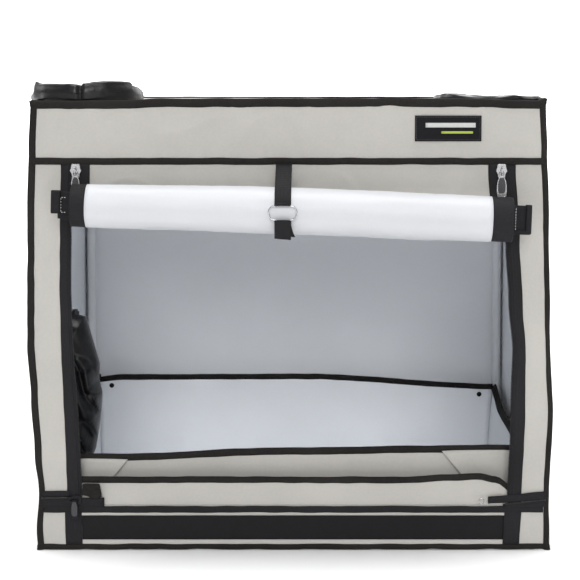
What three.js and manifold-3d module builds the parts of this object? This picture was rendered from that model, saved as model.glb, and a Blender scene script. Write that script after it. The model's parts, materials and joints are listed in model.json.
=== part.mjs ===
// Printer enclosure tent: a pole frame of plug-together steel tubes under a canvas
// cover, with a front door rolled up under its header, a base with a mesh vent, a
// lift-out spill tray, a cable port in the left wall and two in the roof.
// Millimetres, +Z up, front towards -Y, origin on the ground under the middle.
import * as THREE from "three";
import { mergeVertices } from "three/addons/utils/BufferGeometryUtils.js";
import Module from "manifold-3d";

const wasm = await Module();
wasm.setup();

// Overall size of the standing tent, over its edge bindings.
const WIDTH = 800;
const DEPTH = 600;
const HEIGHT = 700;

// Cloth: each wall is canvas and liner sewn together, each edge has a binding.
const GAP = 0.3;
const BINDING_THICKNESS = 1.2;
const BINDING_WIDTH = 12;
const CORNER_EASE = 0.2;
const CLOTH = 1.5;
const HALF_X = WIDTH / 2;
const HALF_Y = DEPTH / 2;
const SKIN_X = HALF_X - BINDING_THICKNESS - GAP;
const SKIN_Y = HALF_Y - BINDING_THICKNESS - GAP;
const SKIN_TOP = HEIGHT - BINDING_THICKNESS - GAP;
const ROOF_BOTTOM = SKIN_TOP - CLOTH;
const WALL_BOTTOM = CLOTH + GAP;
const WALL_TOP = ROOF_BOTTOM - GAP;

// Pole frame: thin tube, plugged into three-way corners and bar tees.
const POLE_RADIUS = 8;
const POLE_WALL = 1;
const JOINT_RADIUS = 11;
const SOCKET_RADIUS = 8.45;
const SOCKET_START = 12;
const ARM_LENGTH = 42;
const TEE_SLEEVE = 24;
const POLE_X = SKIN_X - CLOTH - 0.5 - JOINT_RADIUS;
const POLE_Y = SKIN_Y - CLOTH - 0.5 - JOINT_RADIUS;
const POLE_TOP = ROOF_BOTTOM - 0.5 - JOINT_RADIUS;
const POLE_BOTTOM = 14.5;
const BAR_Y = 100;
const ROUND_STEPS = 16;

// Front: header, door opening and base.
const HEADER_BOTTOM = 604;
const SEAM_WIDTH = 12;
const BASE_TOP = 70;
const OPENING_X = 331;
const SILL_TOP = 114;
const SILL_THICKNESS = 1;
const VENT_X = 325;
const VENT_BOTTOM = 16;
const VENT_TOP = 53;
const LABEL_LEFT = 194;
const LABEL_BOTTOM = 635;

// Door zip: two vertical tapes, one across the bottom and the base's side bands.
const TAPE_WIDTH = 19;
const ZIP_BOTTOM = 59.5;
const ZIP_CLOSED_TOP = 93;
const BAND_INNER_X = 325.5;

// Rolled door: its axis leans down to the right.
const ROLL_CENTRE = new THREE.Vector3(7, -348, 530.5);
const ROLL_TILT = 0.0302;
const ROLL_RADIUS = 35;
const ROLL_PITCH = 4;
const ROLL_TURNS = 2.5;
const TAPE_ROLL_RADIUS = 32.5;
const ROLL_LAYER = 1.2;
const ROLL_LEFT = -305;
const ROLL_RIGHT = 298;
const LEFT_TAPE_ROLL = 26;
const RIGHT_TAPE_ROLL = 33;
const TAB_LENGTH = 28;
const TAB_HEIGHT = 43;
const TAB_THICKNESS = 12;
const FLAP_LEFT = -311;
const FLAP_RIGHT = 315;

// Strap that holds the roll up, and its oval ring.
const STRAP_X = -5;
const STRAP_WIDTH = 25;
const STRAP_THICKNESS = 1.5;
const STRAP_ORBIT = 37.5;
const RING_WIDTH = 44;
const RING_HEIGHT = 27;
const RING_WIRE = 3;
const RING_Y = -388;
const RING_Z = 532.5;

// Zip sliders and their pulls.
const SLIDER_WIDTH = 16;
const SLIDER_LENGTH = 21;
const SLIDER_BACK = -HALF_Y - 0.4;
const SLIDER_FRONT = -304.5;
const ARCH_FRONT = -311.2;
const ARCH_WIDTH = 3.2;
const PULL_THICKNESS = 1.6;
const PULL_PIVOT_Y = -307;
const SLIDERS = [
  { name: "left", x: -322, z: 590, turned: false, length: 30, width: 13 },
  { name: "right", x: 326, z: 590, turned: false, length: 41, width: 15 },
  { name: "bottom", x: -327, z: 77, turned: true, length: 31, width: 13 },
];

// Spill tray.
const TRAY_X = 372;
const TRAY_Y = 272;
const TRAY_WALL = 1.5;
const TRAY_TOP = 150;

// Cable ports.
const WALL_PORT_Y = -150;
const WALL_PORT_Z = 316;
const WALL_PORT_RADIUS = 42;
const ROOF_PORT_X = 315;
const ROOF_PORT_Y = -205;
const ROOF_PORT_RADIUS = 48;
const SLEEVE_DEPTH = 100;

// Places a millimetre is divided into when solids are joined.
const GRID = 1000;

const X_AXIS = new THREE.Vector3(1, 0, 0);
const Y_AXIS = new THREE.Vector3(0, 1, 0);
const Z_AXIS = new THREE.Vector3(0, 0, 1);

const canvas = new THREE.MeshStandardMaterial({ color: 0xc6c3bd, roughness: 0.9, metalness: 0 });
const binding = new THREE.MeshStandardMaterial({ color: 0x2d2a28, roughness: 0.85, metalness: 0 });
const liner = new THREE.MeshStandardMaterial({ color: 0xe8eaee, roughness: 0.5, metalness: 0 });
const ventMesh = new THREE.MeshStandardMaterial({ color: 0x201f22, roughness: 0.95, metalness: 0 });
const nylon = new THREE.MeshStandardMaterial({ color: 0x232428, roughness: 0.4, metalness: 0 });
const poleSteel = new THREE.MeshStandardMaterial({ color: 0xe6e7e9, roughness: 0.35, metalness: 0.1 });
const cornerPlastic = new THREE.MeshStandardMaterial({ color: 0x1d1d1f, roughness: 0.55, metalness: 0 });
const zipMetal = new THREE.MeshStandardMaterial({ color: 0xb8b9bc, roughness: 0.3, metalness: 1 });
const chrome = new THREE.MeshStandardMaterial({ color: 0xd9dadd, roughness: 0.15, metalness: 1 });
const lockPlastic = new THREE.MeshStandardMaterial({ color: 0x17171a, roughness: 0.35, metalness: 0 });
const labelCloth = new THREE.MeshStandardMaterial({ color: 0x3a3a3d, roughness: 0.8, metalness: 0 });

// A closed mesh as a solid that can be joined and cut. Its corners are put on a
// fine grid, so that faces meant to meet do meet.
function solidOf(geometry) {
  const bare = geometry.clone();
  bare.deleteAttribute("normal");
  bare.deleteAttribute("uv");
  const welded = mergeVertices(bare, 1e-4);
  const vertProperties = welded.attributes.position.array.map((value) => Math.round(value * GRID) / GRID);
  const triVerts = new Uint32Array(welded.index.array);
  return new wasm.Manifold(new wasm.Mesh({ numProp: 3, vertProperties, triVerts }));
}

function geometryOf(solid) {
  const mesh = solid.getMesh();
  const geometry = new THREE.BufferGeometry();
  geometry.setAttribute("position", new THREE.BufferAttribute(new Float32Array(mesh.vertProperties), 3));
  geometry.setIndex(new THREE.BufferAttribute(new Uint32Array(mesh.triVerts), 1));
  geometry.computeVertexNormals();
  return geometry;
}

function joinAll(geometries) {
  const [first, ...rest] = geometries.map(solidOf);
  return geometryOf(rest.reduce((whole, next) => whole.add(next), first));
}

function cutAll(geometry, tools) {
  return geometryOf(tools.map(solidOf).reduce((whole, tool) => whole.subtract(tool), solidOf(geometry)));
}

function piece(name, geometry, material) {
  const mesh = new THREE.Mesh(geometry, material);
  mesh.name = name;
  return mesh;
}

function box([x0, y0, z0], [x1, y1, z1]) {
  const geometry = new THREE.BoxGeometry(x1 - x0, y1 - y0, z1 - z0);
  return geometry.translate((x0 + x1) / 2, (y0 + y1) / 2, (z0 + z1) / 2);
}

function extrude(shape, depth) {
  return new THREE.ExtrudeGeometry(shape, { depth, bevelEnabled: false, curveSegments: ROUND_STEPS });
}

// An outline of x and z, as thick as from y0 to y1.
function slabXZ(shape, y0, y1) {
  const turn = new THREE.Matrix4().makeBasis(X_AXIS, Z_AXIS, Y_AXIS.clone().negate());
  return extrude(shape, y1 - y0).applyMatrix4(turn).translate(0, y1, 0);
}

// An outline of y and z, as thick as from x0 to x1.
function slabYZ(shape, x0, x1) {
  const turn = new THREE.Matrix4().makeBasis(Y_AXIS, Z_AXIS, X_AXIS);
  return extrude(shape, x1 - x0).applyMatrix4(turn).translate(x0, 0, 0);
}

// A closed outline, turned anticlockwise so that it can take holes.
function outlineOf(points) {
  const corners = points.map(([u, v]) => new THREE.Vector2(u, v));
  return new THREE.Shape(THREE.ShapeUtils.isClockWise(corners) ? corners.reverse() : corners);
}

function rectangle(u0, v0, u1, v1) {
  return outlineOf([[u0, v0], [u1, v0], [u1, v1], [u0, v1]]);
}

function frameShape(u0, v0, u1, v1, width) {
  const shape = rectangle(u0, v0, u1, v1);
  shape.holes.push(rectangle(u0 + width, v0 + width, u1 - width, v1 - width));
  return shape;
}

function ringShape(u, v, inner, outer) {
  const shape = new THREE.Shape().absarc(u, v, outer, 0, Math.PI * 2, false);
  shape.holes.push(new THREE.Path().absarc(u, v, inner, 0, Math.PI * 2, true));
  return shape;
}

// A round rod along X, Y or Z from one place on the axis to another.
function rod(axis, radius, from, to) {
  const geometry = new THREE.CylinderGeometry(radius, radius, to - from, ROUND_STEPS);
  geometry.translate(0, (from + to) / 2, 0);
  const turn = new THREE.Quaternion().setFromUnitVectors(Y_AXIS, axis);
  return geometry.applyQuaternion(turn);
}

// The outline of a strip of even thickness that follows a line of points.
function ribbon(points, thickness) {
  const left = [];
  const right = [];
  points.forEach(([u, v], index) => {
    const before = points[Math.max(index - 1, 0)];
    const after = points[Math.min(index + 1, points.length - 1)];
    const along = new THREE.Vector2(after[0] - before[0], after[1] - before[1]).normalize();
    left.push([u - along.y * thickness / 2, v + along.x * thickness / 2]);
    right.unshift([u + along.y * thickness / 2, v - along.x * thickness / 2]);
  });
  return outlineOf([...left, ...right]);
}

function arcPoints(u, v, radius, fromDegrees, toDegrees, steps) {
  return Array.from({ length: steps + 1 }, (_, step) => {
    const angle = THREE.MathUtils.degToRad(fromDegrees + (toDegrees - fromDegrees) * step / steps);
    return [u + radius * Math.cos(angle), v + radius * Math.sin(angle)];
  });
}

// Frame -------------------------------------------------------------------

function poleGeometry(length) {
  return extrude(ringShape(0, 0, POLE_RADIUS - POLE_WALL, POLE_RADIUS), length);
}

function pole(name, axis, position, length) {
  const mesh = piece(name, poleGeometry(length), poleSteel);
  mesh.quaternion.setFromUnitVectors(Z_AXIS, axis);
  mesh.position.copy(position).addScaledVector(axis, -length / 2);
  return mesh;
}

// A ball with three sockets, along +X, +Y and +Z.
function cornerGeometry() {
  const axes = [X_AXIS, Y_AXIS, Z_AXIS];
  const ball = new THREE.SphereGeometry(JOINT_RADIUS, ROUND_STEPS, ROUND_STEPS / 2);
  const arms = axes.map((axis) => rod(axis, JOINT_RADIUS, 0, ARM_LENGTH));
  const sockets = axes.map((axis) => rod(axis, SOCKET_RADIUS, SOCKET_START, ARM_LENGTH + 1));
  return cutAll(joinAll([ball, ...arms]), sockets);
}

// A sleeve round a side rail, with one socket along +X.
function teeGeometry() {
  const sleeve = rod(Y_AXIS, JOINT_RADIUS, -TEE_SLEEVE / 2, TEE_SLEEVE / 2);
  const arm = rod(X_AXIS, JOINT_RADIUS, 0, ARM_LENGTH);
  const through = rod(Y_AXIS, SOCKET_RADIUS, -TEE_SLEEVE, TEE_SLEEVE);
  const socket = rod(X_AXIS, SOCKET_RADIUS, SOCKET_START, ARM_LENGTH + 1);
  return cutAll(joinAll([sleeve, arm]), [through, socket]);
}

function buildFrame() {
  const group = new THREE.Group();
  const corner = cornerGeometry();
  const tee = teeGeometry();
  const start = SOCKET_START + GAP;
  const railX = 2 * (POLE_X - start);
  const railY = 2 * (POLE_Y - start);
  const postZ = POLE_TOP - POLE_BOTTOM - 2 * start;
  const middle = (POLE_TOP + POLE_BOTTOM) / 2;
  const sides = [["left", -1], ["right", 1]];
  const ends = [["front", -1], ["back", 1]];
  const levels = [["bottom", POLE_BOTTOM, 1], ["top", POLE_TOP, -1]];
  for (const [end, signY] of ends) {
    for (const [side, signX] of sides) {
      const foot = new THREE.Vector3(signX * POLE_X, signY * POLE_Y, middle);
      group.add(pole(`${end}_${side}_post`, Z_AXIS, foot, postZ));
      const bracket = piece(`${side}_${end}_bar_tee`, tee, cornerPlastic);
      bracket.position.set(signX * POLE_X, signY * BAR_Y, POLE_TOP);
      bracket.scale.set(-signX, 1, 1);
      group.add(bracket);
    }
    group.add(pole(`${end}_hanging_bar`, X_AXIS, new THREE.Vector3(0, signY * BAR_Y, POLE_TOP), railX));
  }
  for (const [level, height, up] of levels) {
    for (const [end, signY] of ends) {
      group.add(pole(`${end}_${level}_rail`, X_AXIS, new THREE.Vector3(0, signY * POLE_Y, height), railX));
      for (const [side, signX] of sides) {
        const elbow = piece(`${end}_${side}_${level}_corner`, corner, cornerPlastic);
        elbow.position.set(signX * POLE_X, signY * POLE_Y, height);
        elbow.scale.set(-signX, -signY, up);
        group.add(elbow);
      }
    }
    for (const [side, signX] of sides) {
      group.add(pole(`${side}_${level}_rail`, Y_AXIS, new THREE.Vector3(signX * POLE_X, 0, height), railY));
    }
  }
  return group;
}

// Cover -------------------------------------------------------------------

function frontPanel(shape) {
  return slabXZ(shape, -SKIN_Y, -SKIN_Y + CLOTH);
}

function basePanelShape() {
  const shape = rectangle(-SKIN_X, WALL_BOTTOM, SKIN_X, BASE_TOP);
  shape.holes.push(rectangle(-VENT_X, VENT_BOTTOM, VENT_X, VENT_TOP));
  return shape;
}

function sideWallShape(withPort) {
  const inner = SKIN_Y - CLOTH - GAP;
  const shape = rectangle(-inner, WALL_BOTTOM, inner, WALL_TOP);
  if (withPort) {
    shape.holes.push(new THREE.Path().absarc(WALL_PORT_Y, WALL_PORT_Z, WALL_PORT_RADIUS, 0, Math.PI * 2, true));
  }
  return shape;
}

function roofShape() {
  const shape = rectangle(-SKIN_X, -SKIN_Y, SKIN_X, SKIN_Y);
  for (const x of [-ROOF_PORT_X, ROOF_PORT_X]) {
    shape.holes.push(new THREE.Path().absarc(x, ROOF_PORT_Y, ROOF_PORT_RADIUS, 0, Math.PI * 2, true));
  }
  return shape;
}

function buildPanels() {
  const group = new THREE.Group();
  const postBottom = BASE_TOP + GAP;
  const postTop = HEADER_BOTTOM - GAP;
  const header = rectangle(-SKIN_X, HEADER_BOTTOM, SKIN_X, WALL_TOP);
  const leftPost = rectangle(-SKIN_X, postBottom, -OPENING_X, postTop);
  const rightPost = rectangle(OPENING_X, postBottom, SKIN_X, postTop);
  const back = rectangle(-SKIN_X, WALL_BOTTOM, SKIN_X, WALL_TOP);
  const sillBack = -SKIN_Y + CLOTH + GAP + SILL_THICKNESS;
  const sill = box([-OPENING_X - 3, sillBack - SILL_THICKNESS, BASE_TOP], [OPENING_X + 3, sillBack, SILL_TOP]);
  const mesh = box(
    [-VENT_X + GAP, -SKIN_Y + GAP, VENT_BOTTOM + GAP],
    [VENT_X - GAP, -SKIN_Y + CLOTH - GAP, VENT_TOP - GAP],
  );
  group.add(piece("header_panel", frontPanel(header), canvas));
  group.add(piece("post_panel_left", frontPanel(leftPost), canvas));
  group.add(piece("post_panel_right", frontPanel(rightPost), canvas));
  group.add(piece("base_panel", frontPanel(basePanelShape()), canvas));
  group.add(piece("sill_flap", sill, canvas));
  group.add(piece("vent_mesh", mesh, ventMesh));
  group.add(piece("left_wall", slabYZ(sideWallShape(true), -SKIN_X, -SKIN_X + CLOTH), canvas));
  group.add(piece("right_wall", slabYZ(sideWallShape(false), SKIN_X - CLOTH, SKIN_X), canvas));
  group.add(piece("back_wall", slabXZ(back, SKIN_Y - CLOTH, SKIN_Y), canvas));
  group.add(piece("roof_panel", extrude(roofShape(), CLOTH).translate(0, 0, ROOF_BOTTOM), canvas));
  group.add(piece("floor_sheet", box([-SKIN_X, -SKIN_Y, 0], [SKIN_X, SKIN_Y, CLOTH]), liner));
  return group;
}

// Folded tape over every edge, and the header's seam. Each face's frame ends inside
// the next one's thickness, at its own small step, so the corners are eased.
function bindingGeometry() {
  const seamBottom = HEADER_BOTTOM - SEAM_WIDTH / 2;
  const endX = HALF_X - 2 * CORNER_EASE;
  const endTop = HEIGHT - 2 * CORNER_EASE;
  const back = frameShape(-endX, 0, endX, endTop, BINDING_WIDTH);
  const front = rectangle(-endX, 0, endX, endTop);
  const hole = endX - BINDING_WIDTH;
  front.holes.push(rectangle(-hole, BINDING_WIDTH, hole, seamBottom));
  front.holes.push(rectangle(-hole, seamBottom + SEAM_WIDTH, hole, endTop - BINDING_WIDTH));
  const sideY = HALF_Y - 2 * CORNER_EASE;
  const side = frameShape(-sideY, CORNER_EASE, sideY, HEIGHT - 3 * CORNER_EASE, BINDING_WIDTH);
  const topX = HALF_X - CORNER_EASE;
  const topY = HALF_Y - CORNER_EASE;
  const top = frameShape(-topX, -topY, topX, topY, BINDING_WIDTH);
  return joinAll([
    slabXZ(front, -HALF_Y, -HALF_Y + BINDING_THICKNESS),
    slabXZ(back, HALF_Y - BINDING_THICKNESS, HALF_Y),
    slabYZ(side, -HALF_X, -HALF_X + BINDING_THICKNESS),
    slabYZ(side, HALF_X - BINDING_THICKNESS, HALF_X),
    extrude(top, BINDING_THICKNESS).translate(0, 0, HEIGHT - BINDING_THICKNESS),
  ]);
}

function zipTrackGeometry() {
  const face = [-HALF_Y, -HALF_Y + BINDING_THICKNESS];
  const tapeTop = HEADER_BOTTOM - SEAM_WIDTH / 2 - GAP;
  const outer = HALF_X - 2 * CORNER_EASE - BINDING_WIDTH - GAP;
  const tapeOuter = OPENING_X + TAPE_WIDTH;
  const bandBottom = BINDING_WIDTH + GAP;
  const strips = [box([-outer, face[0], ZIP_BOTTOM], [outer, face[1], BASE_TOP])];
  for (const side of [-1, 1]) {
    const strip = (inner, end, bottom, top) => {
      const [x0, x1] = [side * inner, side * end].sort((a, b) => a - b);
      return box([x0, face[0], bottom], [x1, face[1], top]);
    };
    strips.push(strip(OPENING_X, tapeOuter, ZIP_BOTTOM, tapeTop));
    strips.push(strip(OPENING_X, outer, ZIP_BOTTOM, ZIP_CLOSED_TOP));
    strips.push(strip(BAND_INNER_X, tapeOuter, bandBottom, BASE_TOP));
  }
  return joinAll(strips);
}

function buildTrim() {
  const group = new THREE.Group();
  const onSkin = -SKIN_Y - GAP;
  const label = box([LABEL_LEFT, onSkin - 0.9, LABEL_BOTTOM], [LABEL_LEFT + 101, onSkin, LABEL_BOTTOM + 39]);
  const ring = slabYZ(
    ringShape(WALL_PORT_Y, WALL_PORT_Z, WALL_PORT_RADIUS, WALL_PORT_RADIUS + 10),
    -HALF_X,
    -SKIN_X - GAP,
  );
  group.add(piece("edge_binding", bindingGeometry(), binding));
  group.add(piece("zip_track", zipTrackGeometry(), binding));
  group.add(piece("label", label, labelCloth));
  group.add(piece("port_ring_left", ring, binding));
  return group;
}

// Door --------------------------------------------------------------------

// The door's turns round its roll, from the back of the roll down and inwards.
function rollShape(outer) {
  const steps = ROLL_TURNS * 24;
  const points = Array.from({ length: steps + 1 }, (_, step) => {
    const turns = ROLL_TURNS * step / steps;
    const radius = outer - ROLL_LAYER / 2 - ROLL_PITCH * turns;
    const angle = -turns * Math.PI * 2;
    return [radius * Math.cos(angle), radius * Math.sin(angle)];
  });
  return ribbon(points, ROLL_LAYER);
}

// One rolled zip tape with the folded hem tab that sticks out of its end.
function tapeRollGeometry(side, inner, width) {
  const end = inner + side * width;
  const tip = end + side * TAB_LENGTH;
  const root = end - side * 12;
  const lowTurn = TAPE_ROLL_RADIUS - ROLL_PITCH * 2.25 - ROLL_LAYER / 2;
  const turns = slabYZ(rollShape(TAPE_ROLL_RADIUS), Math.min(inner, end), Math.max(inner, end));
  const halfTab = [TAB_THICKNESS / 2, TAB_HEIGHT / 2];
  const tab = box(
    [Math.min(root, tip), -halfTab[0], -halfTab[1]],
    [Math.max(root, tip), halfTab[0], halfTab[1]],
  );
  const web = box(
    [Math.min(root, end), -2, -lowTurn],
    [Math.max(root, end), 2, 0],
  );
  return joinAll([turns, tab, web]);
}

function buildDoor() {
  const group = new THREE.Group();
  const roll = new THREE.Group();
  roll.position.copy(ROLL_CENTRE);
  roll.rotation.y = ROLL_TILT;
  const tapeLeft = tapeRollGeometry(-1, ROLL_LEFT - GAP, LEFT_TAPE_ROLL);
  const tapeRight = tapeRollGeometry(1, ROLL_RIGHT + GAP, RIGHT_TAPE_ROLL);
  const hold = arcPoints(0, 0, ROLL_RADIUS + 1.55, 201, 300, 12);
  const holdX = STRAP_X - ROLL_CENTRE.x - STRAP_WIDTH / 2;
  roll.add(piece("door_roll", slabYZ(rollShape(ROLL_RADIUS), ROLL_LEFT, ROLL_RIGHT), liner));
  roll.add(piece("door_zip_tape_left", tapeLeft, binding));
  roll.add(piece("door_zip_tape_right", tapeRight, binding));
  roll.add(piece("strap_lower", slabYZ(ribbon(hold, STRAP_THICKNESS), holdX, holdX + STRAP_WIDTH), binding));
  group.add(roll);

  const flapTop = HEADER_BOTTOM - SEAM_WIDTH / 2 - 0.6;
  const flap = ribbon([[-299.8, flapTop], [-302.6, 580], [-311, 549]], ROLL_LAYER);
  group.add(piece("door_flap", slabYZ(flap, FLAP_LEFT, FLAP_RIGHT), canvas));

  const wrap = arcPoints(ROLL_CENTRE.y, ROLL_CENTRE.z + 0.4, STRAP_ORBIT, 119.5, 155, 6);
  const upper = ribbon([[-302, 600], ...wrap], STRAP_THICKNESS);
  const strapLeft = STRAP_X - STRAP_WIDTH / 2;
  group.add(piece("strap_upper", slabYZ(upper, strapLeft, strapLeft + STRAP_WIDTH), binding));
  group.add(piece("strap_ring", slabXZ(ovalRing(), RING_Y - RING_WIRE / 2, RING_Y + RING_WIRE / 2), chrome));
  return group;
}

function ovalRing() {
  const run = (RING_WIDTH - RING_HEIGHT) / 2;
  const oval = (kind, radius, clockwise) => {
    const path = new kind();
    const quarter = Math.PI / 2;
    if (clockwise) {
      path.absarc(STRAP_X + run, RING_Z, radius, quarter, -quarter, true);
      path.absarc(STRAP_X - run, RING_Z, radius, -quarter, -3 * quarter, true);
    } else {
      path.absarc(STRAP_X + run, RING_Z, radius, -quarter, quarter, false);
      path.absarc(STRAP_X - run, RING_Z, radius, quarter, 3 * quarter, false);
    }
    path.closePath();
    return path;
  };
  const shape = oval(THREE.Shape, RING_HEIGHT / 2, false);
  shape.holes.push(oval(THREE.Path, RING_HEIGHT / 2 - RING_WIRE, true));
  return shape;
}

// Zips --------------------------------------------------------------------

// A slider's body, its centre at the pull's pivot height, with the arch over it.
function sliderGeometry(turned) {
  const top = SLIDER_LENGTH / 2;
  const wide = SLIDER_WIDTH / 2;
  const plate = outlineOf([
    [-wide, top - 3], [-wide + 3, top], [wide - 3, top], [wide, top - 3],
    [wide, 0], [wide - 2.5, -top], [-wide + 2.5, -top], [-wide, 0],
  ]);
  const body = slabXZ(plate, SLIDER_FRONT, SLIDER_BACK);
  if (turned) {
    body.rotateY(Math.PI / 2);
  }
  const arch = outlineOf([
    [SLIDER_FRONT + 1, -7.5], [ARCH_FRONT, -5], [ARCH_FRONT, 5], [SLIDER_FRONT + 1, 7.5],
  ]);
  arch.holes.push(outlineOf([
    [SLIDER_FRONT - 0.3, -4.5], [ARCH_FRONT + 1.8, -3.5], [ARCH_FRONT + 1.8, 3.5], [SLIDER_FRONT - 0.3, 4.5],
  ]));
  return joinAll([body, slabYZ(arch, -ARCH_WIDTH / 2, ARCH_WIDTH / 2)]);
}

// A pull that hangs from its crossbar, with a window round the arch.
function pullGeometry(length, width) {
  const half = width / 2;
  const bottom = -length;
  const outline = outlineOf([
    [-half + 1.5, 1.1], [half - 1.5, 1.1], [half, -1], [half, bottom + 4],
    [half - 3, bottom], [-half + 3, bottom], [-half, bottom + 4], [-half, -1],
  ]);
  outline.holes.push(rectangle(-ARCH_WIDTH / 2 - 0.4, -11.5, ARCH_WIDTH / 2 + 0.4, -1.1));
  const slot = new THREE.Path();
  slot.absarc(0, bottom + 5, 2, 0, Math.PI * 2, true);
  outline.holes.push(slot);
  return slabXZ(outline, PULL_PIVOT_Y - PULL_THICKNESS / 2, PULL_PIVOT_Y + PULL_THICKNESS / 2);
}

function buildZips() {
  const group = new THREE.Group();
  for (const { name, x, z, turned, length, width } of SLIDERS) {
    const slider = piece(`zip_slider_${name}`, sliderGeometry(turned), zipMetal);
    const pull = piece(`zip_pull_${name}`, pullGeometry(length, width), zipMetal);
    slider.position.set(x, 0, z);
    pull.position.set(x, 0, z);
    group.add(slider, pull);
  }
  return group;
}

// Tray --------------------------------------------------------------------

function buildTray() {
  const outside = box([-TRAY_X, -TRAY_Y, WALL_BOTTOM], [TRAY_X, TRAY_Y, TRAY_TOP]);
  const inside = box(
    [-TRAY_X + TRAY_WALL, -TRAY_Y + TRAY_WALL, WALL_BOTTOM + TRAY_WALL],
    [TRAY_X - TRAY_WALL, TRAY_Y - TRAY_WALL, TRAY_TOP + 1],
  );
  return piece("tray", cutAll(outside, [inside]), liner);
}

// Ports -------------------------------------------------------------------

// The limp sleeve that hangs inside the left wall, open at its mouth in the wall.
function wallSleeveGeometry() {
  const wall = -SKIN_X + CLOTH + GAP;
  const outline = outlineOf([
    [wall, 270], [-364, 270], [-360, 230], [-352, 150], [-342, 122], [-326, 122], [-318, 150],
    [-310, 220], [-318, 300], [-340, 338], [-359, 338], [-366, 356], [wall, 374],
  ]);
  const y0 = WALL_PORT_Y - SLEEVE_DEPTH / 2;
  const sleeve = slabXZ(outline, y0, y0 + SLEEVE_DEPTH);
  const mouth = rod(X_AXIS, WALL_PORT_RADIUS - 8, wall - 1, -366).translate(0, WALL_PORT_Y, WALL_PORT_Z);
  return cutAll(sleeve, [mouth]);
}

// A sleeve pushed down into a ring round its port in the roof.
function roofSleeveGeometry(radius, halfWidth, halfHeight) {
  const profile = arcPoints(0, 0, 1, 0, 360, 12).map(([u, v]) => (
    new THREE.Vector2(radius + u * halfWidth, v * halfHeight)
  ));
  profile[profile.length - 1].copy(profile[0]);
  const ring = new THREE.LatheGeometry(profile, 32).rotateX(Math.PI / 2);
  return ring.translate(0, 0, HEIGHT + GAP + halfHeight);
}

function buildPorts() {
  const group = new THREE.Group();
  const left = piece("roof_sleeve_left", roofSleeveGeometry(65, 15, 13.8), nylon);
  const right = piece("roof_sleeve_right", roofSleeveGeometry(66, 17, 3.5), nylon);
  left.position.set(-ROOF_PORT_X, ROOF_PORT_Y, 0);
  right.position.set(ROOF_PORT_X, ROOF_PORT_Y, 0);
  group.add(piece("port_sleeve_left", wallSleeveGeometry(), nylon), left, right);

  const barrel = cutAll(rod(Z_AXIS, 7, 0, 15), [rod(Z_AXIS, 5, 3.5, 16)]);
  const lock = new THREE.Group();
  lock.add(piece("cord_lock_barrel", barrel, lockPlastic));
  lock.add(piece("cord_lock_button", rod(Z_AXIS, 4.5, 7.5, 18.5), lockPlastic));
  lock.position.set(-350, WALL_PORT_Y, 338.4);
  group.add(lock);
  return group;
}

const group = new THREE.Group();
group.add(buildFrame(), buildPanels(), buildTrim(), buildDoor(), buildZips(), buildTray(), buildPorts());

export default group;
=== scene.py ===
# Printer enclosure tent with its front door rolled up: canvas and liner walls on a
# plug-together pole frame, bound in black tape, with a spill tray and cable ports.
import json
import math

import bmesh
import bpy
from mathutils import Matrix, Vector, noise


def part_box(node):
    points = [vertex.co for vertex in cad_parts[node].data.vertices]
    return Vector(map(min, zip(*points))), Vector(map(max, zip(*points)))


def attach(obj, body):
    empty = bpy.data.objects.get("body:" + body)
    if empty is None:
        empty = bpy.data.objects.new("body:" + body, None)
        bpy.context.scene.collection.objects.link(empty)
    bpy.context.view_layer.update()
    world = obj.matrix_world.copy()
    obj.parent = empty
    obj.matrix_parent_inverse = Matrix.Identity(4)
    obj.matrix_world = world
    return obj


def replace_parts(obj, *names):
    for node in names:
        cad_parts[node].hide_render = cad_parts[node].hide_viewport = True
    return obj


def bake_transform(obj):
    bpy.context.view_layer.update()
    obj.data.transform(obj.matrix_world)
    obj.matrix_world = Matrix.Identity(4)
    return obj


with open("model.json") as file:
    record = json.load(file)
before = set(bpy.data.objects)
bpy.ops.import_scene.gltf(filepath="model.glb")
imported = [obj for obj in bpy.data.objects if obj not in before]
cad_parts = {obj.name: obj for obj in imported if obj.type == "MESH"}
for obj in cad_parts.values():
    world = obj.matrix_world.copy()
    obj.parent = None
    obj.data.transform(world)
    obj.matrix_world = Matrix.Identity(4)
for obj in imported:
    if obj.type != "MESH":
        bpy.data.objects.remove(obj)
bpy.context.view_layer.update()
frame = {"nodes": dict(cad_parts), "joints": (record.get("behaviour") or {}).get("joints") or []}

scene = bpy.context.scene
TAU = math.tau

# Camera, light and floor. A long lens stands a little right of the middle, level
# with the roof, and looks slightly down; the light is soft and comes from the front.
camera_data = bpy.data.cameras.new("camera")
camera_data.sensor_width = 36.0
camera_data.lens = 97.87
camera_data.shift_x = -0.0543
camera_data.shift_y = -0.1062
camera = bpy.data.objects.new("camera", camera_data)
camera.location = (0.052, -2.700, 0.712)
camera.rotation_euler = (math.radians(85), 0, 0)
scene.collection.objects.link(camera)
scene.camera = camera
scene.view_settings.view_transform = "Standard"

world = bpy.data.worlds.new("studio")
world.use_nodes = True
world.node_tree.nodes["Background"].inputs["Color"].default_value = (1.0, 1.0, 1.0, 1)
world.node_tree.nodes["Background"].inputs["Strength"].default_value = 0.40
scene.world = world


def far_light(name, bearing, height, strength, softness):
    """A large soft light far away, at a bearing from the front and a height over the
    floor, both in degrees."""
    data = bpy.data.lights.new(name, "SUN")
    data.energy = strength
    data.angle = math.radians(softness)
    lamp = bpy.data.objects.new(name, data)
    turn, rise = math.radians(bearing), math.radians(height)
    place = Vector((math.sin(turn) * math.cos(rise), -math.cos(turn) * math.cos(rise), math.sin(rise)))
    lamp.rotation_euler = place.to_track_quat("Z", "Y").to_euler()
    scene.collection.objects.link(lamp)


far_light("key", 2, 24, 1.50, 32)
far_light("overhead", 0, 88, 2.50, 30)
far_light("rim_left", -115, 30, 0.75, 40)
far_light("rim_right", 115, 30, 0.75, 40)


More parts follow.
